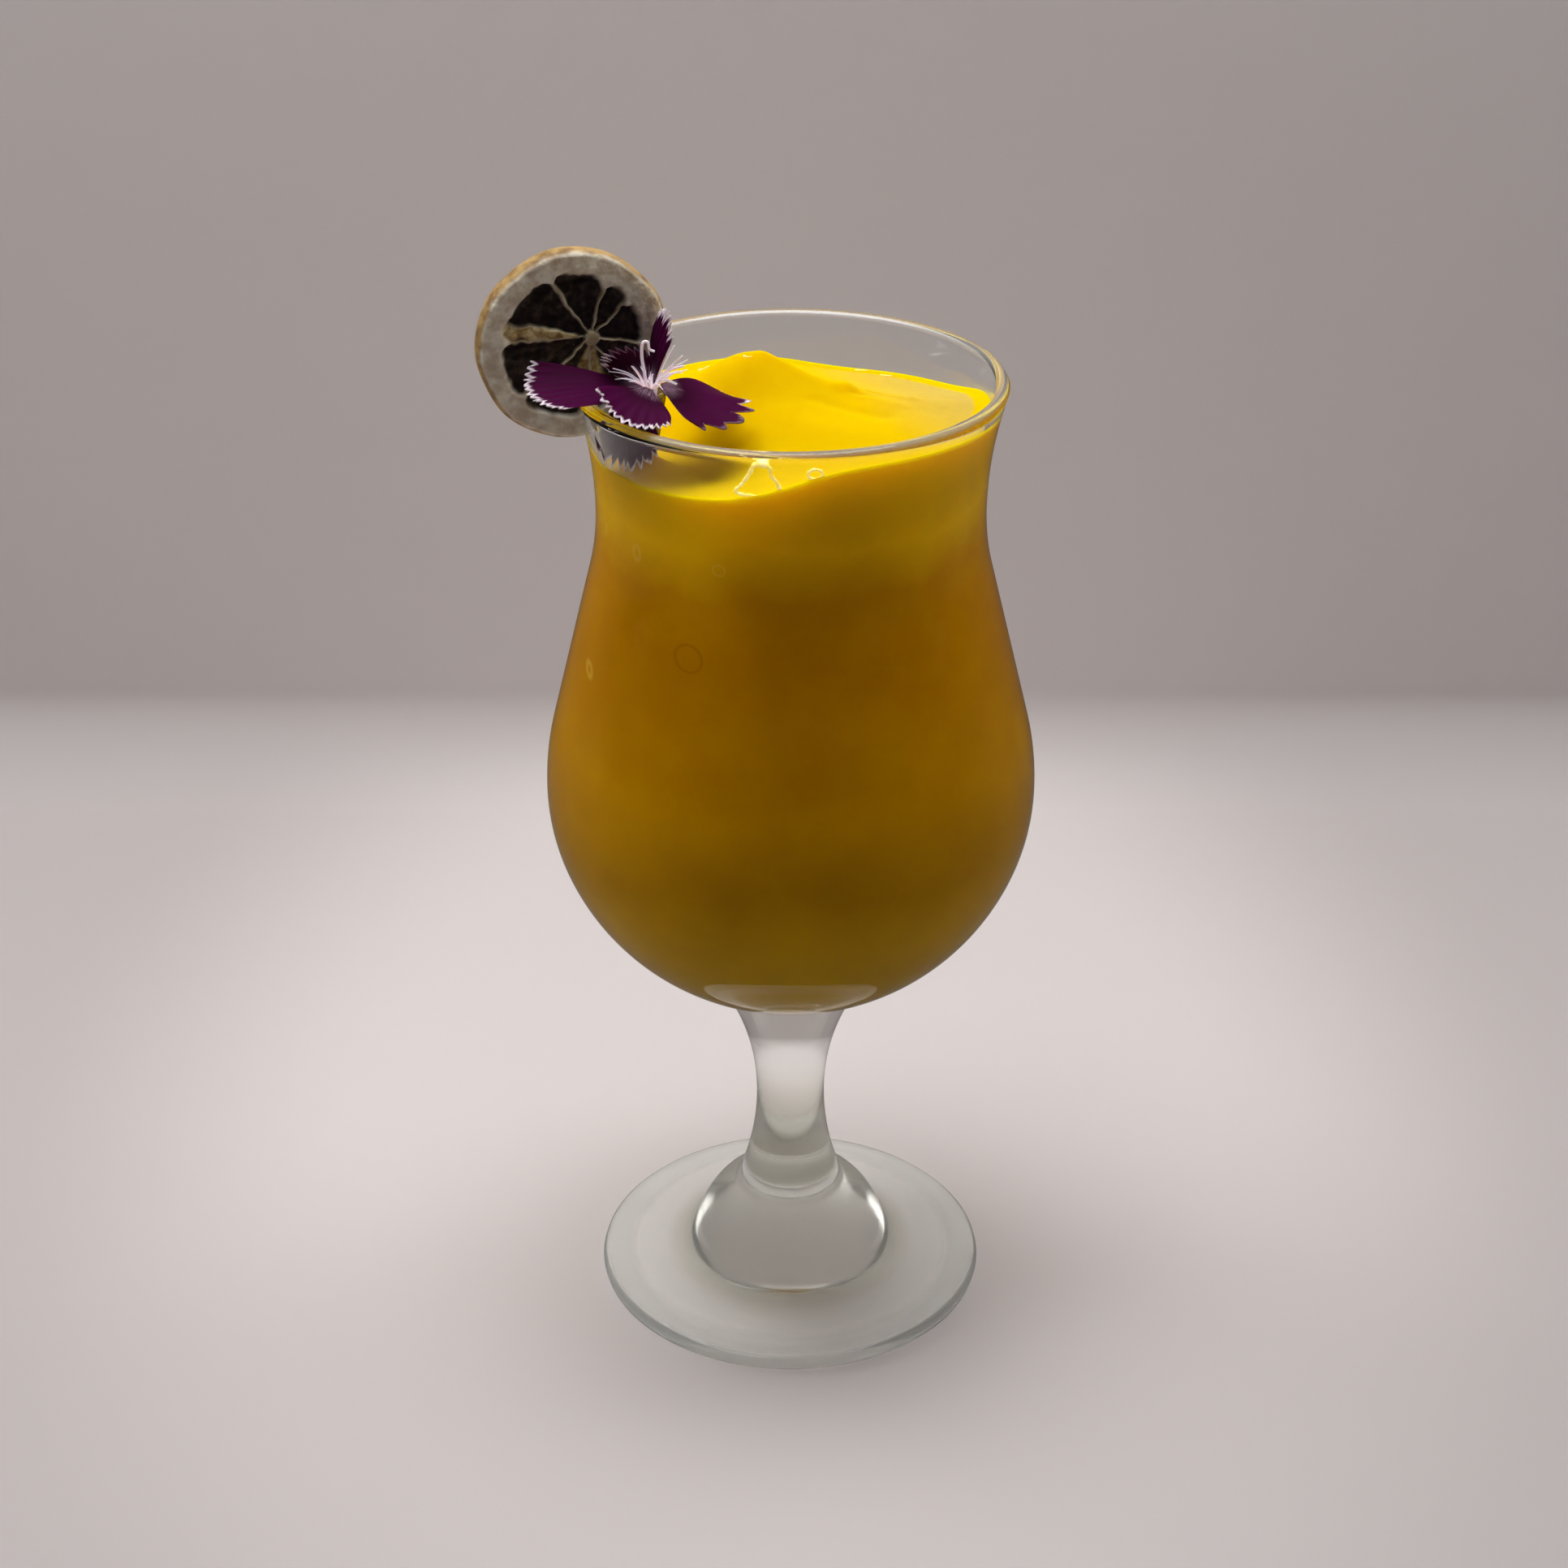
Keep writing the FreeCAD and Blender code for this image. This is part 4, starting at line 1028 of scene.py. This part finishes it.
def thread(points, radius, tip=0.35, around=10, steps=26):
    """Points and faces of a tapering tube along a smooth curve, in millimetres."""
    knots = [Vector(p) for p in points]
    knots = [2 * knots[0] - knots[1], *knots, 2 * knots[-1] - knots[-2]]
    path = []
    for step in range(steps + 1):
        place = step / steps * (len(knots) - 3)
        span = min(int(place), len(knots) - 4)
        path.append(between_knots(*knots[span : span + 4], place - span))
    verts = []
    for step, point in enumerate(path):
        ahead = path[min(step + 1, steps)] - path[max(step - 1, 0)]
        side = ahead.cross(NO_THREAD_LINE).normalized()
        other = ahead.cross(side).normalized()
        thick = radius * (1 - (1 - tip) * step / steps)
        verts += rope_ring(point, thick, side, other, around)
    faces = ring_faces(steps + 1, around)
    faces += [tuple(range(around))[::-1], tuple(range(steps * around, (steps + 1) * around))]
    return verts, faces


def joined(name, threads):
    """Many threads as one piece."""
    verts, faces = [], []
    for some, these in threads:
        faces += [tuple(i + len(verts) for i in face) for face in these]
        verts += some
    return new_piece(name, verts, faces)


# %% Styles and hairs
material, place = new_material("style_white")
tint = noise_at(place, 400.0).between(0.35, 0.65)
finish(place, principled(place, {
    "Base Color": tint.mix(paint(244, 226, 240), paint(255, 250, 254)),
    "Roughness": 0.5,
    "Subsurface Weight": 0.4,
    "Subsurface Scale": 0.002,
    "Emission Color": paint(250, 234, 248),
    "Emission Strength": 0.25,
}))
material.cycles.emission_sampling = "NONE"

# The points that each style passes, as steps from the middle of the throat.
STYLES = {
    "style_tall": (
        (-0.5, -0.3, -2.5), (-0.75, -1.1, 2.3), (-1.1, -2.4, 6.0),
        (-0.9, -2.9, 8.4), (-0.1, -2.7, 8.5), (0.1, -2.4, 7.3), (0.9, -2.4, 6.9),
    ),
    "style_right": ((0.6, 0.2, -2.5), (1.2, -0.2, 1.6), (3.1, -0.4, 3.2), (5.3, -0.5, 3.9)),
    "style_short": ((0.7, -0.6, -2.5), (1.0, -0.9, 1.0), (2.4, -1.4, 1.9), (4.2, -1.9, 1.4)),
}
STYLE_RADIUS, HAIRS = 0.3, 34
for name, steps in STYLES.items():
    path = [throat + Vector(step) for step in steps]
    piece = joined(name.replace("style", "white_style"), [thread(path, STYLE_RADIUS, tip=0.6)])
    give(piece, material, "style_white", name)

HAIR_RISE, HAIR_LENGTH, HAIR_RADIUS = (18, 62), (4.0, 7.4), (0.17, 0.25)
dice = random.Random(11)
hairs = []
for number in range(HAIRS):
    azimuth = 360 * number / HAIRS + dice.uniform(-9, 9)
    tilt = math.radians(dice.uniform(*HAIR_RISE))
    length = dice.uniform(*HAIR_LENGTH)
    start = throat + polar(0.7, azimuth, 0.3)
    out = polar(1, azimuth) * math.cos(tilt) + UP * math.sin(tilt)
    curl = UP * dice.uniform(-0.9, 0.3)
    path = [start, start + out * length * 0.5 + UP * 0.5, start + out * length + curl]
    hairs.append(thread(path, dice.uniform(*HAIR_RADIUS), tip=0.3, around=6, steps=9))
give(joined("throat_hairs", hairs), material, "style_white")

# %% Calyx material
material, place = new_material("calyx_green")
ribs = noise_at(place, 900.0).between(0.4, 0.65)
finish(place, principled(place, {
    "Base Color": ribs.mix(paint(150, 138, 62), paint(224, 206, 130)),
    "Roughness": 0.6,
    "Normal": bump(ribs, 0.3, 0.0002),
}))
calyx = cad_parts["calyx"]
calyx.data.materials.clear()
calyx.data.materials.append(material)
calyx.data.shade_smooth()
print("calyx:", len(calyx.data.polygons), "faces")

# %% [markdown]
# ## Drips inside the lip
#
# Stirring leaves a wet trace on the inside of the wall, just above the drink: a bell-shaped
# pocket and a small ring. Each is a thin rope of puree laid on the wall along a closed curve, pale
# and glowing, which is painted highlight on its raised edges. Short ropes of the same glowing
# puree lie on the heap as painted glints.


# %% Wet traces
def on_wall(x, z, inset):
    """The point of the inner wall in front, at this x and height, in millimetres."""
    radius = rim_radius(Glass.wall + inset, z)
    return Vector((x, -math.sqrt(radius**2 - x**2), z))


def wall_loop(corners, radius, waver, seed):
    """A closed rope along the wall through these (x, height) points."""
    dice = random.Random(seed)
    count, between, around = len(corners), 8, 8
    path = []
    for i in range(count * between):
        place, share = divmod(i / between, 1)
        knots = [np.array(corners[(int(place) + k) % count]) for k in (-1, 0, 1, 2)]
        path.append(on_wall(*between_knots(*knots, share), radius * 0.4))
    verts = []
    for i, point in enumerate(path):
        ahead = path[(i + 1) % len(path)] - path[i - 1]
        out = Vector((point.x, point.y, 0)).normalized()
        side = ahead.cross(out).normalized()
        thick = radius * (1 + waver * dice.uniform(-1, 1))
        verts += rope_ring(point, thick, side, -(out * 0.8), around)
    faces = [tuple(i % len(verts) for i in f) for f in ring_faces(len(path) + 1, around)]
    return verts, faces


def on_heap(x, y):
    """The point of the drink's surface at this x and y."""
    return Vector((x, y, float(surface_height(x, y)) + 0.12))


# A pale colour and a glow of its own: this puree is painted highlight, on the wall's traces and on
# the heap.
material, place = new_material("wet_puree")
spots = noise_at(place, 800.0).between(0.3, 0.7)
finish(place, principled(place, {
    "Base Color": spots.mix(paint(255, 214, 60), paint(255, 250, 190)),
    "Roughness": 0.15,
    "IOR": 1.36,
    "Subsurface Weight": 0.3,
    "Subsurface Scale": 0.001,
    "Emission Color": paint(255, 236, 120),
    "Emission Strength": 0.35,
}))
material.cycles.emission_sampling = "NONE"
BELL = (
    (-8.2, 167.5), (-7.2, 169.2), (-6.1, 171.2), (-5.4, 172.6),
    (-3.3, 172.4), (-2.9, 170.8), (-2.0, 169.4), (-1.9, 167.6), (-5.0, 167.0),
)
RING = tuple((3.6 + 1.1 * math.cos(a), 171.1 + 0.9 * math.sin(a)) for a in np.linspace(0, 5.4, 7))
# x and y of the points that each painted glint on the heap passes.
PAINTED_GLINTS = (
    ((-7.8, 8.4), (-7.2, 8.0), (-6.5, 8.2)),
    ((-15.5, 17.5), (-14.6, 17.0), (-13.4, 17.4)),
    ((-15.0, 13.0), (-14.2, 12.2), (-13.6, 12.6)),
    ((11.0, 28.6), (13.2, 28.2), (15.6, 27.0)),
    ((15.2, 25.2), (16.4, 24.6), (17.2, 24.9)),
    ((9.0, 6.4), (11.0, 4.6), (13.4, 3.6)),
)
traces = [
    wall_loop(BELL, radius=0.3, waver=0.35, seed=3),
    wall_loop(RING, radius=0.24, waver=0.3, seed=4),
]
for corners in PAINTED_GLINTS:
    traces.append(thread([on_heap(*one) for one in corners], 0.2, around=8, steps=10))
give(joined("wet_traces", traces), material, "mango_slush")

# %% [markdown]
# ## Floor, light and camera
#
# The glass stands on a pale table that curves up into a darker backdrop. A broad lamp overhead
# makes the heap bright and lets the sides fall off, and two weak ones fill in from the sides. A
# glass mirrors everything round it, which would veil the drink, so mirrored rays see the table
# dimmed and the side lamps not at all, and the world is bright behind but nearly black in front.

# %% Floor and backdrop
FLOOR_DROP = 0.1  # below the foot, so that light passes under the glass as it does in a room
COVE_FROM, COVE_RADIUS, FLOOR_HALF = 177.0, 22.0, 1500.0
bend = [
    (COVE_FROM + COVE_RADIUS * math.sin(t), COVE_RADIUS * (1 - math.cos(t)))
    for t in np.linspace(0, math.pi / 2, 24)
]
sweep = [(-FLOOR_HALF, 0.0), *bend, (COVE_FROM + COVE_RADIUS, FLOOR_HALF)]
points = [(x, y, z - FLOOR_DROP) for y, z in sweep for x in (-FLOOR_HALF, FLOOR_HALF)]
faces = [(2 * i, 2 * i + 1, 2 * i + 3, 2 * i + 2) for i in range(len(sweep) - 1)]
floor = new_piece("floor", points, faces)
material, place = new_material("pale_table")
side, back, above = place.split()
# The table is painted darker away from a place just behind the glass, a painted falloff of the
# lamps' light; the backdrop keeps its own tone.
depth = (back - 0.06) * 0.7
painted_falloff = ((side * side + depth * depth) ** 0.5).between(0.08, 0.17) * (1 - above.between(0.0, 0.02))
table_color = noise_at(place, 6.0).mix(paint(222, 215, 214), paint(226, 219, 218))
table_color = painted_falloff.mix(table_color, paint(198, 191, 190))
table = principled(place, {
    "Base Color": table_color,
    "Roughness": 0.65, "Specular IOR Level": 0.3,
})
dim = place.node("BsdfDiffuse", inputs={"Color": paint(52, 50, 50)})
mirrored = light_path(place, GLOSSY_RAY) * (1 - light_path(place, TRANSMISSION_RAY))
finish(place, (mirrored * 0.85).mix_shaders(table, dim))
floor.data.materials.append(material)
print("floor:", len(floor.data.polygons), "strips")


# %% Lamps and world
def lamp(name, place, target, size, power, mirrored=False, color=(1, 1, 1)):
    """A four-sided area lamp, sizes and places in millimetres."""
    data = bpy.data.lights.new(name, "AREA")
    data.shape, data.size, data.size_y = "RECTANGLE", size[0] * MM, size[1] * MM
    data.energy, data.color = power, color
    light = bpy.data.objects.new(name, data)
    light.visible_glossy = mirrored
    light.location = Vector(place) * MM
    aim = Vector(target) * MM - light.location
    light.rotation_euler = aim.to_track_quat("-Z", "Y").to_euler()
    bpy.context.scene.collection.objects.link(light)


lamp("overhead", (-40, 130, 700), (0, 20, 100), (560, 480), 5.5, True, (1.0, 0.995, 0.99))
lamp("left_window", (-700, 120, 420), (0, 0, 110), (300, 500), 1.5)
lamp("right_window", (700, 160, 420), (0, 0, 110), (300, 500), 1.2)

world = bpy.data.worlds.new("studio")
bpy.context.scene.world = world
world.use_nodes = True
world.node_tree.nodes.clear()
sky = Signal(world.node_tree, None)
_, toward_back, upward = sky.node("TexCoord", output=0).split()
# Lit behind and above, nearly black in front, and paler for rays that come through glass.
lit = toward_back.between(-0.3, 0.8) * 0.9 + upward.between(0.45, 1.0) * 0.35
shade = lit.mix((0.004, 0.004, 0.004, 1.0), paint(212, 206, 205))
shade = (light_path(sky, TRANSMISSION_RAY) * 0.6).mix(shade, paint(190, 184, 180))
studio = sky.node("Background", inputs={"Color": shade, "Strength": 0.75})
sky.node("OutputWorld", inputs={0: studio})
print("lamps:", [light.name for light in bpy.data.lights])

# %% Camera
CAMERA_AT = (0.0, -433.684, 328.52)
PITCH, YAW, VIEW_ANGLE, SENSOR = 27.728, 0.155, 31.05, 36.0
camera_data = bpy.data.cameras.new("camera")
camera_data.sensor_width = SENSOR
camera_data.lens = SENSOR / 2 / math.tan(math.radians(VIEW_ANGLE / 2))
camera = bpy.data.objects.new("camera", camera_data)
camera.location = Vector(CAMERA_AT) * MM
camera.rotation_euler = (math.radians(90 - PITCH), 0, math.radians(YAW))
bpy.context.scene.collection.objects.link(camera)
bpy.context.scene.camera = camera
bpy.context.scene.view_settings.view_transform = "Standard"
